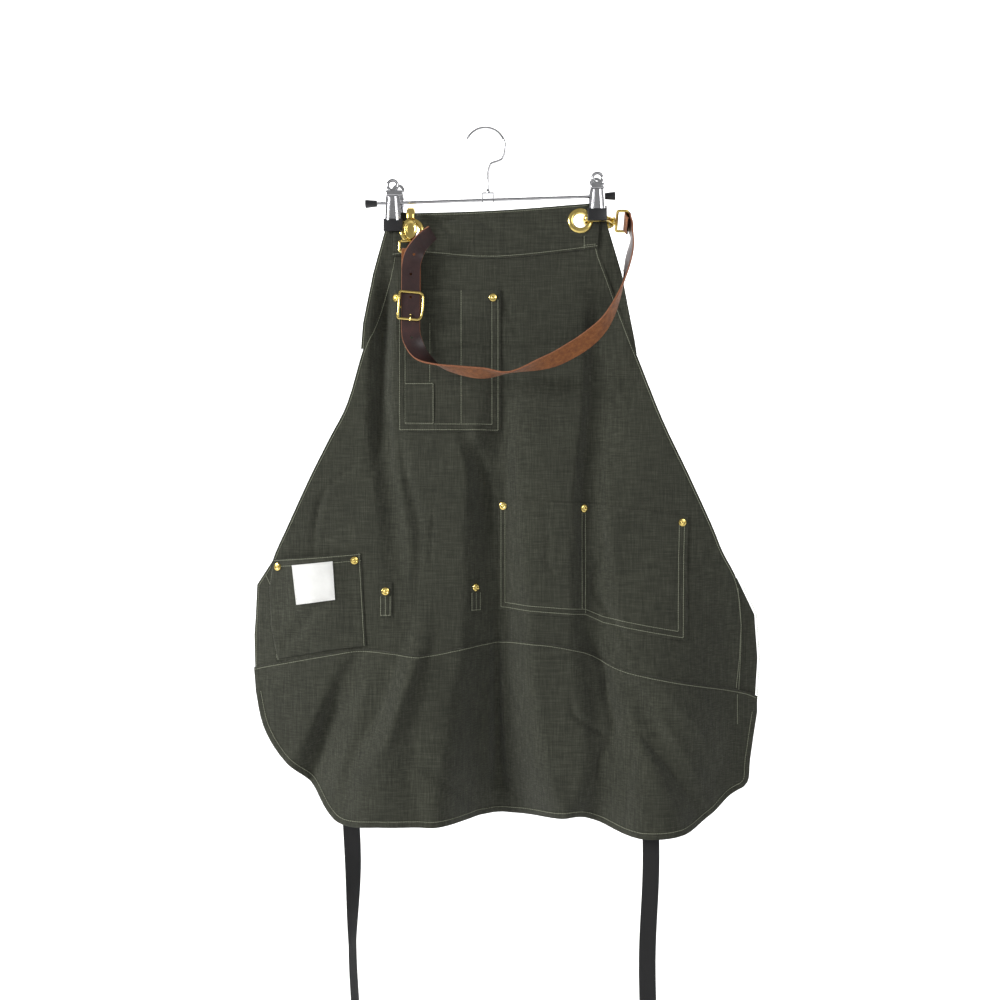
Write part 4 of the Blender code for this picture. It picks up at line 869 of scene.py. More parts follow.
def resampled(line, step):
    """Points evenly along a line, its corners kept."""
    places = []
    for start, end in zip(line, line[1:]):
        length = math.dist(start, end)
        count = max(1, round(length / step))
        for k in range(count):
            share = k / count
            places.append(tuple(a + (b - a) * share for a, b in zip(start, end)))
    places.append(tuple(line[-1]))
    return places


def offset_line(line, distance):
    """The line moved to its right-hand side, seen from the front with X right and Z up."""
    moved = []
    for i, point in enumerate(line):
        before = line[max(i - 1, 0)]
        after = line[min(i + 1, len(line) - 1)]
        dx = after[0] - before[0]
        dz = after[1] - before[1]
        length = math.hypot(dx, dz)
        moved.append((point[0] + distance * dz / length, point[1] - distance * dx / length))
    return moved


def smooth_edge(points, steps=4):
    return [(point[0], point[1]) for point in through([(u, v, 0) for u, v in points], steps)]


class Piece:
    """One sewn piece of cloth: its outline, its layer and the seams on it."""

    def __init__(self, name, outline, layer, bulge=flat, holes=(), seams=(), hem=HEM_LIFT):
        self.name = name
        self.layer = layer
        self.bulge = bulge
        self.hem = hem
        self.loop = resampled(metres(list(outline) + [outline[0]]), RIM_STEP)[:-1]
        self.holes = [metres([hole])[0] for hole in holes]
        self.seams = [resampled(seam, RIM_STEP) for seam in seams]

    def height(self, x, z):
        """The Y of the piece's front face."""
        u, v = shares(x, z)
        edge = distance_to([self.loop + self.loop[:1]], x, z)
        lift = self.hem * np.clip(edge / 0.0010, 0, 1) * np.clip((HEM_WIDTH - edge) / 0.0016 + 0.5, 0, 1)
        y = drape(u, v) - self.bulge(u, v) - self.layer * LAYER - lift
        if self.seams:
            away = distance_to(self.seams, x, z)
            y += GROOVE * np.exp(-((away / GROOVE_WIDTH) ** 2))
            y += PUCKER * np.exp(-((away / 0.007) ** 2)) * lattice(x, z, 0.0065, 5)
        return y

    def points(self):
        """Every vertex of the flat pattern, and the edges it must keep."""
        places = list(self.loop)
        edges = [(i, (i + 1) % len(places)) for i in range(len(places))]
        for centre in self.holes:
            first = len(places)
            radius = GROMMET_BORE / 2 + HOLE_CLEAR
            for k in range(HOLE_SIDES):
                angle = 2 * math.pi * k / HOLE_SIDES
                places.append((centre[0] + radius * math.cos(angle), centre[1] + radius * math.sin(angle)))
            edges += [(first + k, first + (k + 1) % HOLE_SIDES) for k in range(HOLE_SIDES)]
        closed = self.loop + self.loop[:2]
        rows = []
        for distance in RIM_ROWS:
            for side in (-1, 1):
                rows += [(p, distance) for p in offset_line(closed, side * distance)[1:-1]]
        seam_rows = []
        for seam in self.seams:
            seam_rows += seam
            for distance in LINE_ROWS:
                seam_rows += offset_line(seam, distance)
        row_x = np.array([p[0] for p, distance in rows])
        row_z = np.array([p[1] for p, distance in rows])
        wanted = np.array([distance for p, distance in rows])
        away = distance_to([closed], row_x, row_z)
        keep = (away > wanted * 0.9) & inside_loop(self.loop, row_x, row_z)
        if seam_rows:
            keep &= distance_to(self.seams, row_x, row_z) > 0.0022
        places += list(zip(row_x[keep].tolist(), row_z[keep].tolist()))
        if seam_rows:
            seam_x = np.array([p[0] for p in seam_rows])
            seam_z = np.array([p[1] for p in seam_rows])
            keep = inside_loop(self.loop, seam_x, seam_z)
            keep &= distance_to([closed], seam_x, seam_z) > 0.0006
            places += list(zip(seam_x[keep].tolist(), seam_z[keep].tolist()))
        xs = [p[0] for p in self.loop]
        zs = [p[1] for p in self.loop]
        grid_x, grid_z = np.meshgrid(np.arange(min(xs), max(xs), GRID), np.arange(min(zs), max(zs), GRID))
        grid_x = grid_x.ravel()
        grid_z = grid_z.ravel()
        keep = inside_loop(self.loop, grid_x, grid_z)
        grid_x = grid_x[keep]
        grid_z = grid_z[keep]
        keep = distance_to([closed], grid_x, grid_z) > RIM_ROWS[-1] + GRID * 0.6
        if self.seams:
            keep &= distance_to(self.seams, grid_x, grid_z) > LINE_ROWS[-1] + GRID * 0.5
        places += list(zip(grid_x[keep].tolist(), grid_z[keep].tolist()))
        return places, edges

    def mesh(self, thickness=CLOTH):
        places, edges = self.points()
        flat_points = [Vector(place) for place in places]
        found = delaunay_2d_cdt(flat_points, edges, [list(range(len(self.loop)))], 1, MERGE, False)
        x = np.array([p[0] for p in found[0]])
        z = np.array([p[1] for p in found[0]])
        faces = np.array([face for face in found[2] if len(face) == 3])
        middle_x = x[faces].mean(axis=1)
        middle_z = z[faces].mean(axis=1)
        keep = inside_loop(self.loop, middle_x, middle_z)
        for centre in self.holes:
            radius = GROMMET_BORE / 2 + HOLE_CLEAR
            keep &= np.hypot(middle_x - centre[0], middle_z - centre[1]) > radius * 0.99
        faces = faces[keep]
        used = np.unique(faces)
        renumber = np.zeros(len(x), dtype=int)
        renumber[used] = np.arange(len(used))
        faces = renumber[faces]
        x = x[used]
        z = z[used]
        y = self.height(x, z)
        count = len(x)
        front = np.stack([x, y, z], axis=1)
        back = front + (0, thickness, 0)
        pairs = np.concatenate([faces[:, [0, 1]], faces[:, [1, 2]], faces[:, [2, 0]]])
        keys = {tuple(pair) for pair in pairs.tolist()}
        rim = [pair for pair in keys if (pair[1], pair[0]) not in keys]
        walls = []
        for a, b in rim:
            walls.append((b, a, a + count))
            walls.append((b, a + count, b + count))
        every = np.concatenate([faces, faces[:, ::-1] + count, np.array(walls)])
        mesh = bpy.data.meshes.new(self.name)
        mesh.from_pydata(np.concatenate([front, back]).tolist(), [], every.tolist())
        bm = bmesh.new()
        bm.from_mesh(mesh)
        bmesh.ops.recalc_face_normals(bm, faces=bm.faces)
        bm.to_mesh(mesh)
        bm.free()
        mesh.shade_smooth()
        mesh.set_sharp_from_angle(angle=math.radians(ROUND_ANGLE))
        area = 0.5 * np.abs(
            (x[faces[:, 1]] - x[faces[:, 0]]) * (z[faces[:, 2]] - z[faces[:, 0]])
            - (x[faces[:, 2]] - x[faces[:, 0]]) * (z[faces[:, 1]] - z[faces[:, 0]])
        ).sum()
        return mesh, float(area)


def stitches(name, piece, lines, thread, radius=STITCH_RADIUS):
    """Raised stitches along the lines, sunk into the piece's front face."""
    rings = ((-0.5, 0.25), (-0.34, 0.9), (0.0, 1.0), (0.34, 0.9), (0.5, 0.25))
    sides = 6
    starts = []
    for line in lines:
        steps = resampled(line, STITCH_PITCH)
        for a, b in zip(steps, steps[1:]):
            starts.append((a[0], a[1], b[0], b[1]))
    ends = np.array(starts)
    middle = (ends[:, :2] + ends[:, 2:]) / 2
    run = ends[:, 2:] - ends[:, :2]
    run /= np.linalg.norm(run, axis=1)[:, None]
    side = np.stack([-run[:, 1], run[:, 0]], axis=1)
    verts = []
    for along, width in rings:
        spot = middle + run * along * STITCH_LENGTH
        y = piece.height(spot[:, 0], spot[:, 1]) - radius * (1.0 if width > 0.5 else -0.4)
        for k in range(sides):
            angle = 2 * math.pi * k / sides
            reach = side * math.cos(angle) * radius * width
            lift = math.sin(angle) * radius * width
            verts.append(np.stack([spot[:, 0] + reach[:, 0], y - lift, spot[:, 1] + reach[:, 1]], axis=1))
    count = len(starts)
    block_size = len(rings) * sides
    places = np.stack(verts, axis=1).reshape(-1, 3)
    pattern = []
    for ring in range(len(rings) - 1):
        for k in range(sides):
            a = ring * sides + k
            b = ring * sides + (k + 1) % sides
            pattern.append((a, b, b + sides, a + sides))
    quads = (np.arange(count)[:, None, None] * block_size + np.array(pattern)[None]).reshape(-1, 4)
    caps = []
    for base in range(count):
        caps.append([base * block_size + k for k in range(sides)][::-1])
        caps.append([base * block_size + block_size - sides + k for k in range(sides)])
    mesh = bpy.data.meshes.new(name)
    mesh.from_pydata(places.tolist(), [], quads.tolist() + caps)
    bm = bmesh.new()
    bm.from_mesh(mesh)
    bmesh.ops.recalc_face_normals(bm, faces=bm.faces)
    bm.to_mesh(mesh)
    bm.free()
    mesh.shade_smooth()
    return new_object(name, mesh, thread)


# Materials


class Nodes:
    """A material's node tree, with short ways to add and join nodes."""

    def __init__(self, name):
        self.material = bpy.data.materials.new(name)
        self.material.use_nodes = True
        self.tree = self.material.node_tree
        self.shader = self.tree.nodes["Principled BSDF"]
        self.place = self.add("ShaderNodeTexCoord").outputs["Object"]

    def add(self, kind, **values):
        node = self.tree.nodes.new(kind)
        for key, value in values.items():
            if hasattr(node, key):
                setattr(node, key, value)
            else:
                node.inputs[key.replace("_", " ")].default_value = value
        return node

    def join(self, output, target):
        self.tree.links.new(output, target)

    def stretched(self, scale):
        node = self.add("ShaderNodeMapping")
        node.inputs["Scale"].default_value = scale
        self.join(self.place, node.inputs["Vector"])
        return node.outputs["Vector"]

    def noise(self, scale, detail=4.0, roughness=0.6, vector=None):
        node = self.add("ShaderNodeTexNoise")
        node.inputs["Scale"].default_value = scale
        node.inputs["Detail"].default_value = detail
        node.inputs["Roughness"].default_value = roughness
        self.join(vector or self.place, node.inputs["Vector"])
        return node.outputs["Fac"]

    def wave(self, direction, scale, distortion=0.0):
        node = self.add("ShaderNodeTexWave")
        node.bands_direction = direction
        node.inputs["Scale"].default_value = scale
        node.inputs["Distortion"].default_value = distortion
        node.inputs["Detail Scale"].default_value = 2.0
        self.join(self.place, node.inputs["Vector"])
        return node.outputs["Fac"]

    def math(self, operation, first, second):
        node = self.add("ShaderNodeMath")
        node.operation = operation
        for k, value in enumerate((first, second)):
            if isinstance(value, float):
                node.inputs[k].default_value = value
            else:
                self.join(value, node.inputs[k])
        return node.outputs[0]

    def ramp(self, factor, *stops):
        node = self.add("ShaderNodeValToRGB")
        ramp = node.color_ramp
        while len(ramp.elements) < len(stops):
            ramp.elements.new(0.5)
        for element, (position, colour) in zip(ramp.elements, stops):
            element.position = position
            element.color = (*colour, 1.0)
        self.join(factor, node.inputs["Fac"])
        return node.outputs["Color"]

    def levels(self, factor, low, high):
        node = self.add("ShaderNodeMapRange")
        node.inputs["To Min"].default_value = low
        node.inputs["To Max"].default_value = high
        self.join(factor, node.inputs["Value"])
        return node.outputs["Result"]

    def mix(self, factor, first, second, blend="MIX"):
        node = self.add("ShaderNodeMix")
        node.data_type = "RGBA"
        node.blend_type = blend
        for socket, value in ((0, factor), (6, first), (7, second)):
            if isinstance(value, float):
                node.inputs[socket].default_value = value
            elif isinstance(value, tuple):
                node.inputs[socket].default_value = (*value, 1.0)
            else:
                self.join(value, node.inputs[socket])
        return node.outputs[2]

    def bump(self, height, distance, strength=1.0, under=None):
        node = self.add("ShaderNodeBump")
        node.inputs["Distance"].default_value = distance
        node.inputs["Strength"].default_value = strength
        self.join(height, node.inputs["Height"])
        if under:
            self.join(under, node.inputs["Normal"])
        return node.outputs["Normal"]

    def colour(self, value):
        if isinstance(value, tuple):
            self.shader.inputs["Base Color"].default_value = (*value, 1.0)
        else:
            self.join(value, self.shader.inputs["Base Color"])

    def set(self, name, value):
        if isinstance(value, (float, int)):
            self.shader.inputs[name].default_value = value
        else:
            self.join(value, self.shader.inputs[name])


def canvas_material(name="canvas", seed=0.0, shade=1.0):
    """Plain-woven duck: warp and weft threads with slubs, and a mottled faded colour."""
    made = Nodes(name)
    warp = made.wave("X", 290.0, 0.6)
    weft = made.wave("Z", 260.0, 0.6)
    threads = made.math("MULTIPLY", warp, weft)
    slub_x = made.noise(240.0, 3.0, 0.65, made.stretched((0.14, 1.0, 2.6)))
    slub_z = made.noise(240.0, 3.0, 0.65, made.stretched((2.6, 1.0, 0.14)))
    slubs = made.math("ADD", slub_x, slub_z)
    patches = made.noise(9.0 + seed, 5.0, 0.6)
    dark = (0.0120 * shade, 0.0130 * shade, 0.0080 * shade)
    middle = (0.0245 * shade, 0.0257 * shade, 0.0172 * shade)
    light = (0.0470 * shade, 0.0485 * shade, 0.0350 * shade)
    base = made.ramp(made.math("MULTIPLY", slubs, 0.5), (0.36, dark), (0.50, middle), (0.66, light))
    worn = made.ramp(patches, (0.30, (0.86, 0.86, 0.86)), (0.70, (1.12, 1.12, 1.12)))
    base = made.mix(1.0, base, worn, "MULTIPLY")
    made.colour(made.mix(made.levels(threads, 0.0, 0.35), base, (0.070, 0.072, 0.055)))
    made.set("Roughness", 0.92)
    made.set("Sheen Weight", 0.12)
    made.set("Sheen Roughness", 0.5)
    made.set("Specular IOR Level", 0.25)
    weave = made.bump(threads, 0.0003, 0.6)
    made.set("Normal", made.bump(slubs, 0.0007, 0.8, weave))
    return made.material


def thread_material():
    made = Nodes("thread")
    twist = made.noise(900.0, 2.0)
    made.colour(made.ramp(twist, (0.3, (0.135, 0.143, 0.100)), (0.7, (0.210, 0.220, 0.160))))
    made.set("Roughness", 0.8)
    made.set("Normal", made.bump(twist, 0.0002))
    return made.material


def label_material():
    made = Nodes("label_cloth")
    weave = made.math("MULTIPLY", made.wave("X", 500.0, 0.5), made.wave("Z", 500.0, 0.5))
    tone = made.noise(30.0, 4.0)
    made.colour(made.ramp(tone, (0.3, (0.60, 0.60, 0.58)), (0.7, (0.70, 0.70, 0.68))))
    made.set("Roughness", 0.85)
    made.set("Normal", made.bump(weave, 0.0002, 0.5))
    return made.material


def webbing_material():
    made = Nodes("webbing")
    ribs = made.wave("Z", 210.0, 0.4)
    rows = made.wave("X", 260.0, 0.4)
    weave = made.math("MULTIPLY", ribs, rows)
    made.colour(made.ramp(weave, (0.1, (0.0025, 0.0025, 0.0028)), (0.8, (0.010, 0.010, 0.011))))
    made.set("Roughness", 0.85)
    made.set("Normal", made.bump(weave, 0.0004, 0.8))
    return made.material


def leather_material():
    """The strap's finished side: dark oxblood with worn, lighter scuffs."""
    made = Nodes("leather")
    grain = made.noise(420.0, 5.0, 0.65)
    broad = made.noise(38.0, 5.0, 0.7)
    base = made.ramp(broad, (0.30, (0.014, 0.0045, 0.0042)), (0.55, (0.026, 0.0075, 0.0066)),
                     (0.78, (0.058, 0.016, 0.012)))
    made.colour(made.mix(made.levels(grain, 0.0, 0.25), base, (0.012, 0.004, 0.004)))
    made.set("Roughness", made.levels(broad, 0.34, 0.55))
    made.set("Specular IOR Level", 0.40)
    made.set("Coat Weight", 0.15)
    made.set("Coat Roughness", 0.3)
    made.set("Normal", made.bump(broad, 0.0010, 0.5, made.bump(grain, 0.0003, 0.5)))
    return made.material


def suede_material():
    made = Nodes("suede")
    nap = made.noise(520.0, 6.0, 0.75)
    fibres = made.noise(160.0, 5.0, 0.7)
    base = made.ramp(fibres, (0.30, (0.105, 0.032, 0.007)), (0.52, (0.215, 0.072, 0.015)),
                     (0.75, (0.330, 0.125, 0.032)))
    made.colour(made.mix(made.levels(nap, 0.0, 0.5), base, (0.160, 0.050, 0.016)))
    made.set("Roughness", 0.9)
    made.set("Sheen Weight", 0.15)
    made.set("Normal", made.bump(fibres, 0.0008, 0.8, made.bump(nap, 0.0004, 0.7)))
    return made.material


def edge_material():
    made = Nodes("leather_edge")
    fibres = made.noise(600.0, 4.0, 0.7)
    made.colour(made.ramp(fibres, (0.3, (0.130, 0.040, 0.015)), (0.7, (0.260, 0.095, 0.038))))
    made.set("Roughness", 0.75)
    made.set("Normal", made.bump(fibres, 0.0003))
    return made.material


def metal_material(name, colour, bright, roughness, scratch=0.35):
    made = Nodes(name)
    marks = made.noise(220.0, 6.0, 0.7)
    clouds = made.noise(60.0, 3.0)
    made.colour(made.mix(made.levels(clouds, 0.0, 1.0), colour, bright))
    made.set("Metallic", 1.0)
    made.set("Roughness", made.levels(marks, roughness, roughness + 0.14))
    made.set("Normal", made.bump(marks, 0.0001, scratch))
    return made.material


def rubber_material():
    made = Nodes("rubber")
    grain = made.noise(700.0, 3.0)
    made.colour(made.ramp(grain, (0.3, (0.006, 0.006, 0.007)), (0.7, (0.013, 0.013, 0.014))))
    made.set("Roughness", made.levels(grain, 0.30, 0.42))
    made.set("Normal", made.bump(grain, 0.0001, 0.4))
    return made.material


def backdrop_material():
    made = Nodes("backdrop")
    tone = made.noise(1.5, 3.0)
    made.colour(made.ramp(tone, (0.3, (0.86, 0.86, 0.865)), (0.7, (0.89, 0.89, 0.89))))
    made.set("Roughness", 0.9)
    return made.material


# Stage, light and camera


def camera():
    data = bpy.data.cameras.new("camera")
    data.sensor_width = SENSOR
    data.lens = SENSOR * -CAMERA_PLACE[1] / (2 * VIEW_HALF_WIDTH)
    obj = bpy.data.objects.new("camera", data)
    obj.location = CAMERA_PLACE
    obj.rotation_euler = (math.pi / 2, 0, 0)
    bpy.context.scene.collection.objects.link(obj)
    bpy.context.scene.camera = obj


def area_light(name, place, aim, size, power):
    data = bpy.data.lights.new(name, "AREA")
    data.shape = "RECTANGLE"
    data.size = size[0]
    data.size_y = size[1]
    data.energy = power
    obj = bpy.data.objects.new(name, data)
    obj.location = place
    direction = Vector(aim) - Vector(place)
    obj.rotation_euler = direction.to_track_quat("-Z", "Y").to_euler()
    bpy.context.scene.collection.objects.link(obj)


def lights():
    bpy.context.scene.view_settings.view_transform = "Standard"
    for light in LIGHTS:
        area_light(*light)
    world = bpy.data.worlds.new("world")
    world.use_nodes = True
    world.node_tree.nodes["Background"].inputs["Color"].default_value = (1.0, 1.0, 1.0, 1.0)
    world.node_tree.nodes["Background"].inputs["Strength"].default_value = WORLD_STRENGTH
    bpy.context.scene.world = world


def backdrop():
    """A pale floor that curves up into a wall well behind the apron."""
    section = [(-BACKDROP_HALF, FLOOR), (BACKDROP_DEPTH - BACKDROP_BEND, FLOOR)]
    for k in range(1, 13):
        angle = math.radians(7.5 * k)
        section.append((
            BACKDROP_DEPTH - BACKDROP_BEND + BACKDROP_BEND * math.sin(angle),
            FLOOR + BACKDROP_BEND - BACKDROP_BEND * math.cos(angle),
        ))
    section.append((BACKDROP_DEPTH, BACKDROP_HALF))
    verts = []
    for y, z in section:
        verts += [(-BACKDROP_HALF, y, z), (BACKDROP_HALF, y, z)]
    faces = [(2 * i, 2 * i + 1, 2 * i + 3, 2 * i + 2) for i in range(len(section) - 1)]
    mesh = bpy.data.meshes.new("backdrop")
    mesh.from_pydata(verts, [], faces)
    obj = smooth(new_object("backdrop", mesh, backdrop_material()))


# Pieces


BODY = "apron"
MATERIALS = {}


def place(obj, node, body=BODY, slot=None):
    """The piece stands for its node, on its body; its slot is not used."""
    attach(obj, body)
    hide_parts(node)
    return obj


def finished(node, ending, mesh, finish, angle=35.0, body=BODY):
    """A hard piece of one finish that stands for its node."""
    obj = smooth(new_object(f"{node}_{ending}", mesh, MATERIALS[finish]), angle)
    place(obj, node, body, finish)


def trim(obj, body=BODY):
    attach(obj, body)
    return obj


def lowered(line, drop):
    return tuple((u, v + drop) for u, v in line)


def between(line, left, right):
    return tuple(point for point in line if left < point[0] < right)


def panel_outline():
    left = smooth_edge(LEFT_EDGE)
    right = smooth_edge(RIGHT_EDGE)
    foot = between(lowered(SEAM, SEAM_LAP), left[-1][0], right[-1][0])
    top = smooth_edge(TOP_EDGE)
    return tuple(top) + tuple(right) + tuple(reversed(foot)) + tuple(reversed(left))


def cloth_pieces():
    """Each sewn piece by name, with the seams that run on it."""
    inner = {name: [metres(seam.path) for seam in SEAMS if seam.piece == name] for name in
             ("main_panel", "lower_panel", "bib_pocket", "thigh_pocket", "bib_top_band")}
    left = metres(smooth_edge(LEFT_EDGE))
    right = metres(smooth_edge(RIGHT_EDGE))
    hem = metres(smooth_edge(HEM))
    seam = metres(smooth_edge(SEAM))
    top = metres(smooth_edge(TOP_EDGE))
    holes = tuple(GROMMETS.values())
    main_seams = inner["main_panel"] + [offset_line(left, -EDGE_STITCH), offset_line(right, EDGE_STITCH)]
    lower_seams = inner["lower_panel"] + [offset_line(hem, HEM_STITCH), offset_line(seam, EDGE_STITCH)]
    band = list(smooth_edge(TOP_EDGE)) + list(RIGHT_EDGE[:3]) + smooth_edge(
        (RIGHT_EDGE[2],) + BAND_EDGE + (LEFT_EDGE[1],))[1:-1] + list(reversed(LEFT_EDGE[:2]))
    band_foot = metres(smooth_edge((RIGHT_EDGE[2],) + BAND_EDGE + (LEFT_EDGE[1],)))
    band_seams = inner["bib_top_band"] + [offset_line(band_foot, EDGE_STITCH), offset_line(top, 0.0028)]
    hip = lowered(HIP_POCKET, -SEAM_CLEAR)
    hip_top = metres(hip[:2])
    hip_right = metres(hip[1:3])
    hip_seams = [offset_line(hip_top, 0.0018), offset_line(hip_top, 0.0100), offset_line(hip_right, 0.0022)]
    pencil = metres(PENCIL_POCKET)
    pieces = [
        Piece("main_panel", panel_outline(), 0, holes=holes, seams=main_seams, hem=0.0),
        Piece("lower_panel", tuple(smooth_edge(SEAM)) + tuple(smooth_edge(HEM)), 1, seams=lower_seams),
        Piece("bib_top_band", band, 1, holes=holes, seams=band_seams),
        Piece("bib_pocket", BIB_POCKET, 1, seams=inner["bib_pocket"]),
        Piece("pencil_pocket", PENCIL_POCKET, 2, seams=[offset_line(pencil, 0.0012)], hem=0.0),
        Piece("thigh_pocket", THIGH_POCKET, 1, seams=inner["thigh_pocket"]),
        Piece("hip_pocket", hip, 1, bulge=hip_bulge, seams=hip_seams),
    ]
    for name, outline in FACINGS.items():
        closed = metres(outline)
        seams = [offset_line(closed[:5], -EDGE_STITCH if "left" in name else EDGE_STITCH)]
        if name == "side_facing_right":
            seams = [offset_line(closed[6:] + closed[:1], EDGE_STITCH)]
        if name == "skirt_facing_right":
            seams = [offset_line(closed[5:] + closed[:1], EDGE_STITCH)]
        pieces.append(Piece(name, outline, -1, seams=seams))
    for name, outline in TOOL_LOOPS.items():
        (left_u, top_v), (right_u, _), _, (_, foot_v) = outline
        columns = [left_u + (right_u - left_u) * share for share in (0.14, 0.5, 0.86)]
        seams = [metres(((u, top_v + 0.022), (u, foot_v - 0.002))) for u in columns]
        seams.append(metres(((columns[0], foot_v - 0.003), (columns[2], foot_v - 0.003))))
        pieces.append(Piece(name, outline, 1, seams=seams, hem=0.0002))
    return pieces


def apron_cloth():
    canvas = MATERIALS["canvas"]
    for piece in cloth_pieces():
        mesh, area = piece.mesh()
        obj = place(new_object(piece.name + "_cloth", mesh, canvas), piece.name, slot="canvas")
        thread = None
        if piece.seams:
            thread = stitches(piece.name + "_stitches", piece, piece.seams, MATERIALS["thread"])
            trim(thread)


def cloth_label():
    outline = metres(LABEL)
    border = [offset_line(outline + outline[:2], 0.0020)[1:]]
    piece = Piece("label", LABEL, 2.1, bulge=hip_bulge, seams=border, hem=0.0)
    mesh, area = piece.mesh(0.0008)
    obj = place(new_object("label_cloth", mesh, MATERIALS["label"]), "label", slot="label_cloth")
    thread = stitches("label_stitches", piece, border, MATERIALS["label"], STITCH_RADIUS * 0.7)
    trim(thread)


def surface(x, z, layer, bulge):
    u, v = shares(np.array([x]), np.array([z]))
    return float((drape(u, v) - bulge(u, v) - layer * LAYER)[0])


def seat(u, v, layer, bulge, radius):
    """The middle and outward direction of a round piece that rests on the cloth's front."""
    x = x_at(u)
    z = z_at(v)
    slope_x = (surface(x + radius, z, layer, bulge) - surface(x - radius, z, layer, bulge)) / 2 / radius
    slope_z = (surface(x, z + radius, layer, bulge) - surface(x, z - radius, layer, bulge)) / 2 / radius
    outward = Vector((slope_x, -1, slope_z)).normalized()
    return Vector((x, surface(x, z, layer, bulge), z)), outward


def rivets():
    profile = [(RIVET_RADIUS * share, RIVET_HEIGHT * height) for share, height in RIVET_PROFILE]
    for name, (u, v) in RIVETS.items():
        bulge = hip_bulge if "hip" in name else flat
        foot, outward = seat(u, v, 1.5, bulge, RIVET_RADIUS)
        mesh = turned(profile, 32)
        turn = outward.to_track_quat("Z", "Y").to_matrix().to_4x4()
        mesh.transform(Matrix.Translation(foot) @ turn)
        finished(name, "head", mesh, "brass")


def grommets():
    bore = GROMMET_BORE / 2
    front = LAYER + GAP
    back = CLOTH + GAP
    barrel = bore + 0.0008
    crown = (bore + GROMMET_RADIUS) / 2 - 0.0006
    profile = (
        (bore, front - 0.0004), (bore + 0.0002, front + 0.0010),
        (bore + 0.0012, front + GROMMET_FLANGE * 0.92),
        (crown, front + GROMMET_FLANGE * 1.1), (GROMMET_RADIUS - 0.0022, front + GROMMET_FLANGE * 0.9),
        (GROMMET_RADIUS - 0.0006, front + GROMMET_FLANGE * 0.45), (GROMMET_RADIUS, front),
        (barrel, front), (barrel, -back), (GROMMET_RADIUS, -back),
        (GROMMET_RADIUS - 0.0012, -back - GROMMET_FLANGE * 0.7), (crown, -back - GROMMET_FLANGE),
        (bore + 0.0010, -back - GROMMET_FLANGE * 0.8), (bore, -back - 0.0006),
    )
    for side, (u, v) in GROMMETS.items():
        mesh = turned(profile)
        mesh.transform(Matrix.Rotation(math.radians(90), 4, "X"))
        mesh.transform(Matrix.Translation((x_at(u), 0, z_at(v))))
        finished(f"grommet_{side}", "ring", mesh, "brass")


def bar_z(x):
    return -BAR_DROP + (x - STEM_SIDE) * math.tan(math.radians(BAR_TILT))


def steel(mesh, name, node):
    place(smooth(new_object(name, mesh, MATERIALS["chrome"])), node, slot="chrome")


def hanger():
    centre = Vector((0, 0, HOOK_WIRE / 2 - HOOK_RADIUS))
    points = []
    count = 48
    for k in range(count + 1):
        angle = math.radians(HOOK_FROM + (HOOK_TO - HOOK_FROM) * k / count)
        points.append(centre + HOOK_RADIUS * Vector((math.cos(angle), 0, math.sin(angle))))
    last = points[-1]
    bend = Vector((STEM_SIDE + 0.0035, 0, -0.8 * STEM_TOP))
    shoulder = Vector((STEM_SIDE, 0, -STEM_TOP))
    run = through([points[-4], last, (last + bend) / 2, bend, shoulder], 8)[9:]
    foot = Vector((STEM_SIDE, 0, -STEM_FOOT))
    hook = wire(points + run + [foot], HOOK_WIRE, resolution=8)
    steel(hook, "hook_wire", "hanger_hook")
    nut_top = Vector((STEM_SIDE, 0, -STEM_FOOT - GAP))
    nut_foot = nut_top - Vector((0, 0, NUT_HEIGHT))
    nut = bevelled(cylinder(nut_foot, nut_top, NUT_RADIUS, NUT_RADIUS * 0.7, 6), 0.0003)
    steel(nut, "nut", "hanger_nut")
    hanger_bracket(nut_foot.z - GAP)
    hanger_bar()


def hanger_bracket(top):
    half = BRACKET_WIDTH / 2
    inner = half - BRACKET_WALL
    foot = top - BRACKET_HEIGHT
    roof = top - BRACKET_WALL
    loop = (
        (STEM_SIDE - half, foot), (STEM_SIDE - half, top), (STEM_SIDE + half, top), (STEM_SIDE + half, foot),
        (STEM_SIDE + inner, foot), (STEM_SIDE + inner, roof),
        (STEM_SIDE - inner, roof), (STEM_SIDE - inner, foot),
    )
    ends = [Vector((x, 0, bar_z(x))) for x in (STEM_SIDE - half * 2, STEM_SIDE + half * 2)]
    bore = cylinder(ends[0], ends[1], BAR_DIAMETER / 2 + GAP, sides=32)
    bracket = bevelled(combine(slab([loop], BRACKET_DEPTH), bore, "DIFFERENCE"), 0.0003)
    steel(bracket, "bracket", "hanger_bracket")


def hanger_bar():
    along = Vector((math.cos(math.radians(BAR_TILT)), 0, math.sin(math.radians(BAR_TILT))))
    left_x = CLIP_LEFT - BAR_PAST_LEFT
    left = Vector((left_x, 0, bar_z(left_x)))
    right = left + along * BAR_LENGTH
    bar = cylinder(left, right, BAR_DIAMETER / 2, sides=32)
    steel(bar, "bar", "hanger_bar")
    for side, end, outward in (("left", left, -along), ("right", right, along)):
        start = end - outward * CAP_LENGTH * 0.35
        cap = bevelled(cylinder(start, start + outward * CAP_LENGTH, CAP_NARROW, CAP_WIDE, 48), 0.0006, 3)
        finished(f"bar_end_{side}", "cap", cap, "rubber")


def arc(radius, height, angles):
    """Points in X and Z round a centre at that height, at angles in degrees."""
    turns = [math.radians(angle) for angle in angles]
    return [(radius * math.cos(turn), height + radius * math.sin(turn)) for turn in turns]


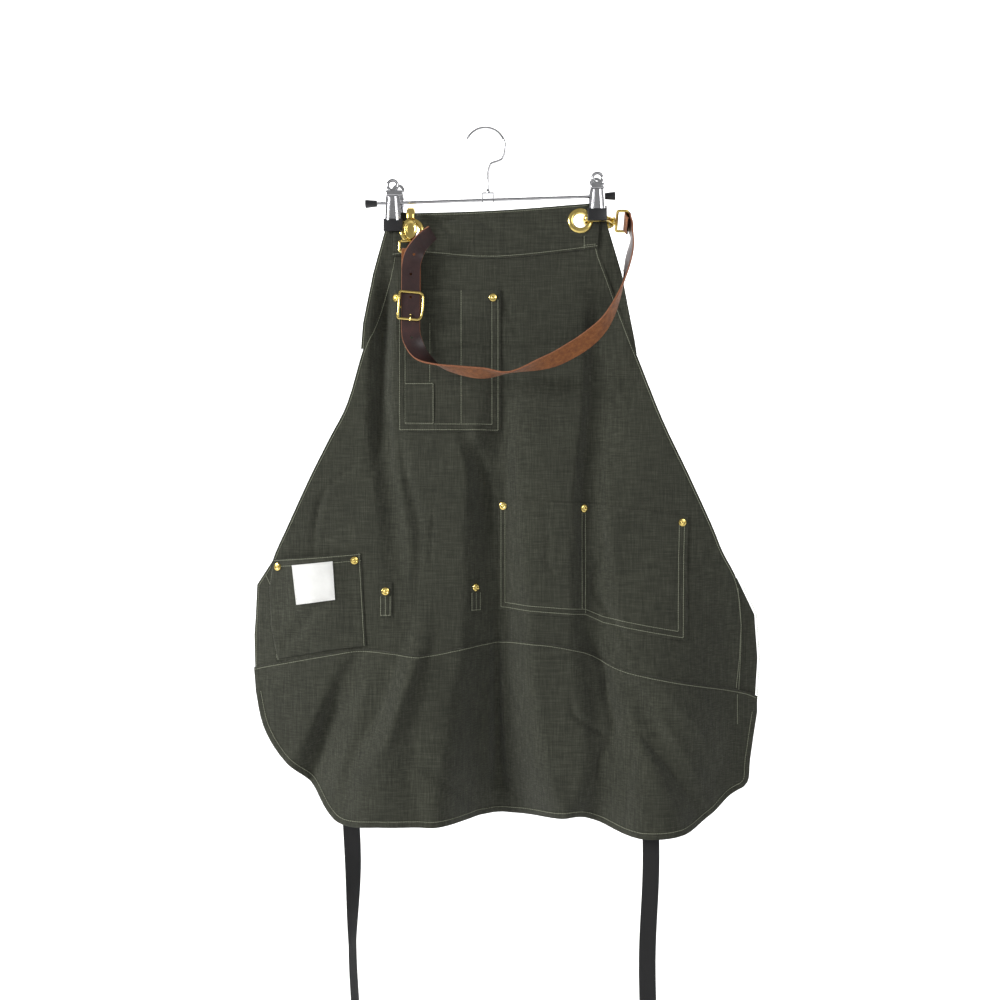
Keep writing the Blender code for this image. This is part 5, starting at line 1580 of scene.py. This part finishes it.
def clip_plate(clip, face, inner):
    """One sprung plate of a clip, with the ring at its top; face is -1 in front and 1 behind."""
    foot = PLATE_FOOT / 2
    waist = PLATE_WAIST / 2
    height = PAD_HEIGHT + clip.drop + RING_RISE
    ring = arc(PLATE_RING, height, range(-40, 221, 5))
    hole = arc(PLATE_HOLE, height, range(0, 360, 10))
    band = PAD_HEIGHT + clip.drop + BAND_RISE
    shoulder = (PLATE_SHOULDER / 2, band - PLATE_STEP)
    right = [(foot, PAD_HEIGHT - PLATE_SUNK), (foot, PAD_HEIGHT), shoulder, (waist, band)]
    left = [(-x, z) for x, z in reversed(right)]
    plate = bevelled(slab([right + ring + left, hole], PLATE_THICKNESS), 0.0003)
    for side in (-1, 1):
        proud = face * PLATE_THICKNESS * RIB_PROUD
        rib_foot = Vector((side * foot * RIB_FOOT_SHARE, proud, PAD_HEIGHT - PLATE_SUNK * 0.5))
        rib_top = Vector((side * waist * RIB_TOP_SHARE, proud, band - PLATE_STEP))
        plate = combine(plate, cylinder(rib_foot, rib_top, RIB_FOOT, RIB_TOP, 24), "UNION")
    circle = arc(PLATE_RING * LIP_SHARE, height, range(0, 360, 10))
    lip = wire([(x, face * PLATE_THICKNESS * LIP_PROUD, z) for x, z in circle], LIP_WIRE, closed=True)
    plate = combine(plate, lip, "UNION")
    start = abs(inner) + PAD_BACKING + GAP + PLATE_THICKNESS / 2
    lean = math.atan2(max(PLATE_SPREAD - start, PLATE_SLOPE), height)
    plate.transform(Matrix.Rotation(-face * lean, 4, "X"))
    if face > 0:
        plate.transform(Matrix.Rotation(math.radians(clip.back_lean), 4, "Y"))
    foot_z = bar_z(clip.x) - clip.drop - PAD_HEIGHT
    plate.transform(Matrix.Translation((clip.x, face * start, foot_z)))
    return plate, start, lean


def clips():
    flange = CLEAR_FRONT + GAP + GROMMET_FLANGE
    behind = CLEAR_BACK + GROMMET_FLANGE
    arm = SNAP_WIRE / 2 - min(station.out for station in SNAP_ARM)
    for clip in (
        Clip("left", CLIP_LEFT, CLIP_DROP_LEFT, flange + GAP, CLIP_BACK_LEAN),
        Clip("right", CLIP_RIGHT, CLIP_DROP_RIGHT, arm + GAP, 0.0),
    ):
        top = bar_z(clip.x) - clip.drop
        half = PAD_WIDTH / 2
        seats = []
        for word, face, inner in (("front", -1, clip.front), ("back", 1, behind + GAP)):
            near = face * inner
            far = face * (inner + PAD_THICKNESS)
            low = (clip.x - half, min(near, far), top - PAD_HEIGHT)
            high = (clip.x + half, max(near, far), top)
            pad = bevelled(block(low, high), 0.0008, 3)
            finished(f"clip_{clip.side}_{word}_pad", "rubber", pad, "rubber")
            plate, start, lean = clip_plate(clip, face, inner)
            finished(f"clip_{clip.side}_{word}_plate", "steel", plate, "chrome")
            seats.append((face, start, math.tan(lean)))
        clip_band(clip, seats)
        clip_runner(clip, seats)


def clip_band(clip, seats):
    climb = PAD_HEIGHT + clip.drop + BAND_RISE + BAND_HEIGHT
    shift = math.sin(math.radians(clip.back_lean)) * climb
    half = PLATE_WAIST / 2 + 2 * GAP + shift / 2
    middle = clip.x + shift / 2
    foot = bar_z(clip.x) + BAND_RISE
    front, back = [face * (start + climb * lean + PLATE_THICKNESS / 2 + GAP) for face, start, lean in seats]
    outer = block(
        (middle - half - BAND_WALL, front - BAND_WALL, foot),
        (middle + half + BAND_WALL, back + BAND_WALL, foot + BAND_HEIGHT),
    )
    inner = block((middle - half, front, foot - BAND_HEIGHT), (middle + half, back, foot + 2 * BAND_HEIGHT))
    band = bevelled(combine(bevelled(outer, 0.0014, 3, 89.0), inner, "DIFFERENCE"), 0.0002)
    finished(f"clip_{clip.side}_spring", "steel", band, "chrome")


def clip_runner(clip, seats):
    climb = PAD_HEIGHT + clip.drop - RUNNER_HEIGHT / 2
    middle = bar_z(clip.x)
    inset = PLATE_THICKNESS * 0.55 + GAP
    front, back = [face * (start + climb * lean - inset) for face, start, lean in seats]
    body = block(
        (clip.x - RUNNER_LENGTH / 2, front, middle - RUNNER_HEIGHT / 2),
        (clip.x + RUNNER_LENGTH / 2, back, middle + RUNNER_HEIGHT / 2),
    )
    ends = [Vector((clip.x + dx, 0, bar_z(clip.x + dx))) for dx in (-RUNNER_LENGTH, RUNNER_LENGTH)]
    bore = cylinder(ends[0], ends[1], BAR_DIAMETER / 2 + GAP, sides=32)
    runner = bevelled(combine(body, bore, "DIFFERENCE"), 0.0004)
    finished(f"clip_{clip.side}_runner", "steel", runner, "chrome")


def snap_frame(side):
    """The snap hook's own axes in the world: along to its nose, out to its lever, and across."""
    u, v = GROMMETS[side]
    if side == "left":
        origin = Vector((x_at(u), 0, z_at(v) - SNAP_LEFT_DROP))
        return origin, Vector((0, 0, 1)), Vector((0, -1, 0)), Vector((1, 0, 0))
    origin = Vector((x_at(u) + SNAP_RIGHT_SIDE, 0, z_at(v) + SNAP_RIGHT_RISE))
    return origin, Vector((-1, 0, 0)), Vector((0, 1, 0)), Vector((0, 0, 1))


def snap_hook(side):
    origin, along, out, across = snap_frame(side)

    def at(a, o):
        return origin + along * a + out * o

    line = through([(arm.along, arm.out, arm.width) for arm in SNAP_ARM], 6)
    stations = [Station(at(p[0], p[1]), across, p[2], SNAP_WIRE) for p in line]
    body = loft(stations, oval(24))
    rings = [(SNAP_COLLAR * share, SNAP_COLLAR_LENGTH * height) for share, height in COLLAR_PROFILE]
    collar = turned(rings, 48)
    turn = along.to_track_quat("Z", "Y").to_matrix().to_4x4()
    collar.transform(Matrix.Translation(at(GAP, SNAP_NECK_OUT)) @ turn)
    finished(f"snap_hook_{side}", "brass", combine(body, collar, "UNION"), "brass", ROUND_ANGLE)
    snap_lever(side, at(LEVER_PIVOT, LEVER_OUT), along, out, across)
    snap_eye(side, origin, along, out, across)


def snap_lever(side, pivot, along, out, across):
    """The thumb lever: an oval tray with a raised rim round a dished floor."""
    middle = (LEVER_FROM + LEVER_TO) / 2 - LEVER_PIVOT
    half = (LEVER_TO - LEVER_FROM) / 2
    sides = 64
    bm = bmesh.new()
    rings = []
    for share, height in LEVER_PROFILE:
        ring = []
        for k in range(sides):
            angle = 2 * math.pi * k / sides
            spot = across * share * LEVER_WIDTH / 2 * math.cos(angle)
            spot += along * (middle + share * half * math.sin(angle))
            spot += out * (height - 0.5) * LEVER_THICKNESS
            ring.append(bm.verts.new(pivot + spot))
        rings.append(ring)
    for first, second in zip(rings, rings[1:]):
        for k in range(sides):
            j = (k + 1) % sides
            bm.faces.new((first[k], first[j], second[j], second[k]))
    bmesh.ops.remove_doubles(bm, verts=bm.verts, dist=MERGE)
    bmesh.ops.recalc_face_normals(bm, faces=bm.faces)
    finished(f"snap_lever_{side}", "brass", mesh_of(bm, "lever"), "brass", ROUND_ANGLE, f"lever_{side}")


def eye_width(side, along, across):
    turn = Matrix.Rotation(math.radians(EYE_TURN if side == "right" else 0.0), 3, along)
    return turn @ across


def snap_eye(side, origin, along, out, across):
    wide = eye_width(side, along, across)
    centre = origin + out * SNAP_NECK_OUT - along * (EYE_HEIGHT + EYE_WIRE) / 2
    half_width = EYE_WIDTH / 2 - EYE_CORNER
    half_height = EYE_HEIGHT / 2 - EYE_CORNER
    points = []
    for corner, (a, b) in enumerate(((1, 1), (-1, 1), (-1, -1), (1, -1))):
        for k in range(9):
            angle = math.radians(90 * corner + 11.25 * k)
            dx = a * half_width + EYE_CORNER * math.cos(angle)
            dz = b * half_height + EYE_CORNER * math.sin(angle)
            points.append(centre + wide * dx + along * dz)
    finished(f"snap_eye_{side}", "brass", wire(points, EYE_WIRE, closed=True), "brass")


def eye_bar(side):
    """The middle and direction of the eye's far bar, where the strap goes round."""
    origin, along, out, across = snap_frame(side)
    centre = origin + out * SNAP_NECK_OUT - along * (EYE_HEIGHT + EYE_WIRE / 2)
    return centre, eye_width(side, along, across)


def round_bar(middle, start, normal, radius, first, last, steps):
    points = []
    for k in range(steps + 1):
        angle = math.radians(first + (last - first) * k / steps)
        points.append(middle + radius * (start * math.cos(angle) + normal * math.sin(angle)))
    return points


def buckle_place():
    return eye_bar("left")[0] - Vector((0, 0, BUCKLE_DROP))


STRIP = strip_profile(0.022, 0.30)
# Which of the strap's materials each side of its section takes: suede behind, leather in front
STRIP_SLOTS = (2, 1, 1, 1, 1, 2, 2, 2, 0, 0, 0, 0, 2, 2)


def strap_materials():
    return MATERIALS["leather"], MATERIALS["suede"], MATERIALS["leather_edge"]


def buckle_strap():
    top = eye_bar("left")[0]
    foot = buckle_place()
    toward = Vector((0, -1, 0))
    up = Vector((0, 0, 1))
    over = EYE_WIRE / 2 + GAP + STRAP_THICKNESS / 2
    under = BUCKLE_BAR / 2 + GAP + STRAP_THICKNESS / 2
    meet = (top.z + foot.z) / 2
    front = toward * (over + under) / 2
    start = Vector((top.x, top.y, meet + GAP)) + front
    end = Vector((top.x, top.y, meet - GAP)) + front
    points = [start, top + toward * over - up * 0.006]
    points += round_bar(top, toward, up, over, 0, 180, 24)
    points += round_bar(foot, -toward, -up, under, 0, 180, 24)
    points += [foot + toward * under + up * 0.006, end]
    stations = [Station(p, Vector((1, 0, 0)), STRAP_WIDTH, STRAP_THICKNESS) for p in points]
    mesh = loft(stations, STRIP, STRIP_SLOTS)
    obj = smooth(new_object("buckle_strap_leather", mesh, *strap_materials()))
    place(obj, "buckle_strap", slot="leather")


def strap_front():
    return max(BUCKLE_BAR, EYE_WIRE) / 2 + 2 * GAP + 1.5 * STRAP_THICKNESS


def strap_line():
    """The long strap's middle line and the way its width lies, from its tip to its sewn end."""
    bar = buckle_place()
    front = bar.y - strap_front()
    rows = []
    for tail in STRAP_TIP:
        lift = Vector((tail.aside * STRAP_WIDTH, -tail.lift * STRAP_LIFT, tail.up * STRAP_TAIL))
        rows.append((Vector((bar.x, front, bar.z)) + lift, Vector(tail.face)))
    anchor = Vector((bar.x, front, bar.z - 0.40 * STRAP_TAIL))
    eye, eye_wide = eye_bar("right")
    eye_wide = -eye_wide
    side = Vector((1, 0, 0))
    down = side.cross(eye_wide)
    if down.z > 0:
        down = -down
    over = EYE_WIRE / 2 + GAP + STRAP_THICKNESS / 2
    landing = eye + side * (over + LANDING_OUT) + down * LANDING_DOWN - Vector((0, 0, LANDING_SAG))
    for run in STRAP_RUN:
        spot = anchor.lerp(landing, run.across)
        spot += Vector((0, -run.bow * STRAP_BOW, -run.sag * STRAP_SAG))
        rows.append((spot, Vector(run.face)))
    rows.append((landing, eye_wide))
    rows.append((eye + side * over + down * 0.008, eye_wide))
    for point in round_bar(eye, side, -down, over, 0, 180, 6):
        rows.append((point, eye_wide))
    rows.append((eye - side * (over - 0.0006) + down * 0.006, eye_wide))
    rows.append((eye + side * (over - STRAP_THICKNESS - 0.0012) + down * 0.014, eye_wide))
    return rows


def strap_hole(number):
    bar = buckle_place()
    line = through([row[0] for row in strap_line()[: len(STRAP_TIP) + 2]], 6)
    height = bar.z + number * HOLE_PITCH - HOLE_START
    nearest = min(line, key=lambda point: abs(point.z - height))
    reach = Vector((0, HOLE_REACH, 0))
    return cylinder(nearest - reach, nearest + reach, STRAP_HOLE / 2, sides=24)


def neck_strap():
    rows = strap_line()
    centres = through([row[0] for row in rows], 8)
    faces = through([row[1] for row in rows], 8)
    stations = []
    for centre, face in zip(centres, faces):
        stations.append(Station(centre, face.normalized(), STRAP_WIDTH, STRAP_THICKNESS))
    mesh = loft(stations, STRIP, STRIP_SLOTS)
    for made in strap_materials():
        mesh.materials.append(made)
    for number in HOLE_NUMBERS:
        mesh = combine(mesh, strap_hole(number), "DIFFERENCE")
    obj = smooth(new_object("neck_strap_leather", mesh))
    place(obj, "neck_strap", slot="leather")


def buckle():
    bar = buckle_place()
    frame_y = bar.y - strap_front() - STRAP_THICKNESS / 2 - GAP - BUCKLE_WIRE / 2
    half_width = BUCKLE_WIDTH / 2
    half_height = BUCKLE_HEIGHT / 2
    tilt = Matrix.Rotation(math.radians(-BUCKLE_TURN), 3, "Y")
    corners = (
        (half_width, half_height - BUCKLE_NOTCH),
        (half_width - BUCKLE_EASE, half_height - BUCKLE_STEP),
        (half_width - BUCKLE_SHOULDER, half_height),
        (-half_width + BUCKLE_EASE, half_height),
        (-half_width, half_height - BUCKLE_EASE),
        (-half_width, -half_height + BUCKLE_EASE),
        (-half_width + BUCKLE_EASE, -half_height),
        (half_width - BUCKLE_SHOULDER, -half_height),
        (half_width - BUCKLE_EASE, -half_height + BUCKLE_STEP),
        (half_width, -half_height + BUCKLE_NOTCH),
        (half_width + BUCKLE_BOW, 0),
    )
    points = [Vector((bar.x, frame_y, bar.z)) + tilt @ Vector((x, 0, z)) for x, z in corners]
    frame = wire(points, BUCKLE_WIRE, closed=True)
    ears = (
        Vector((bar.x - half_width, frame_y, bar.z)),
        Vector((bar.x - half_width, bar.y - BUCKLE_EAR, bar.z)),
        Vector((bar.x - half_width + BUCKLE_EAR, bar.y, bar.z)),
        Vector((bar.x + half_width - BUCKLE_EAR, bar.y, bar.z)),
        Vector((bar.x + half_width, bar.y - BUCKLE_EAR, bar.z)),
        Vector((bar.x + half_width, frame_y, bar.z)),
    )
    whole = combine(frame, wire(ears, BUCKLE_BAR), "UNION")
    finished("buckle_frame", "brass", whole, "brass")
    hole_z = bar.z - TONGUE_DROP
    strap_y = bar.y - strap_front() - STRAP_THICKNESS / 2 - GAP - TONGUE / 2
    front = frame_y - BUCKLE_WIRE / 2 - GAP - TONGUE / 2
    line = through((
        (bar.x, strap_y, hole_z + TONGUE_RISE),
        (bar.x, strap_y, hole_z),
        (bar.x, (strap_y + front) / 2, hole_z - TONGUE_STEP / 2),
        (bar.x, front, hole_z - TONGUE_STEP),
        (bar.x, front, bar.z - half_height - BUCKLE_WIRE * 0.7),
    ), 5)
    finished("buckle_tongue", "brass", wire(line, TONGUE), "brass")


def waist_ties():
    for tie in TIES:
        hem = z_at(HEM_SHARE)
        z = z_at(TIE_TOP)
        outward = CLOTH + TIE_LIFT + TIE_THICKNESS / 2
        points = []
        deepest = -1.0
        while z > hem:
            across = [TIE_WIDTH / 2 * share for share in (-1, 0, 1)]
            depth = max(surface(x_at(tie.u) + dx, z, 0, flat) for dx in across)
            deepest = max(deepest, depth)
            points.append(Vector((x_at(tie.u), deepest + outward, z)))
            z -= TIE_STEP
        reach = -TIE_END - hem
        stations = [Station(p, Vector((1, 0, 0)), TIE_WIDTH, TIE_THICKNESS) for p in points]
        steps = int(-reach / TIE_STEP)
        for k in range(1, steps + 1):
            share = k / steps
            angle = math.radians(tie.twist * min(1.0, TIE_TWIST_RATE * share))
            across = Vector((math.cos(angle), math.sin(angle), 0))
            sway = TIE_SWAY * math.sin(TIE_WAVES * share)
            spot = Vector((x_at(tie.u) + tie.drift * share + sway, points[-1].y, hem + reach * share))
            stations.append(Station(spot, across, TIE_WIDTH, TIE_THICKNESS))
        mesh = loft(stations, strip_profile(*TIE_EDGES))
        name = f"waist_tie_{tie.side}"
        obj = smooth(new_object(name + "_webbing", mesh, MATERIALS["webbing"]))
        place(obj, name, slot="webbing")


def main():
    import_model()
    camera()
    lights()
    backdrop()
    MATERIALS.update(
        canvas=canvas_material(),
        thread=thread_material(),
        label=label_material(),
        webbing=webbing_material(),
        leather=leather_material(),
        suede=suede_material(),
        leather_edge=edge_material(),
        brass=metal_material("brass", (0.52, 0.37, 0.08), (0.88, 0.70, 0.26), 0.12),
        chrome=metal_material("chrome", (0.30, 0.30, 0.31), (0.72, 0.72, 0.74), 0.07),
        rubber=rubber_material(),
    )
    apron_cloth()
    cloth_label()
    rivets()
    grommets()
    hanger()
    clips()
    for side in ("left", "right"):
        snap_hook(side)
    buckle_strap()
    neck_strap()
    buckle()
    waist_ties()


main()
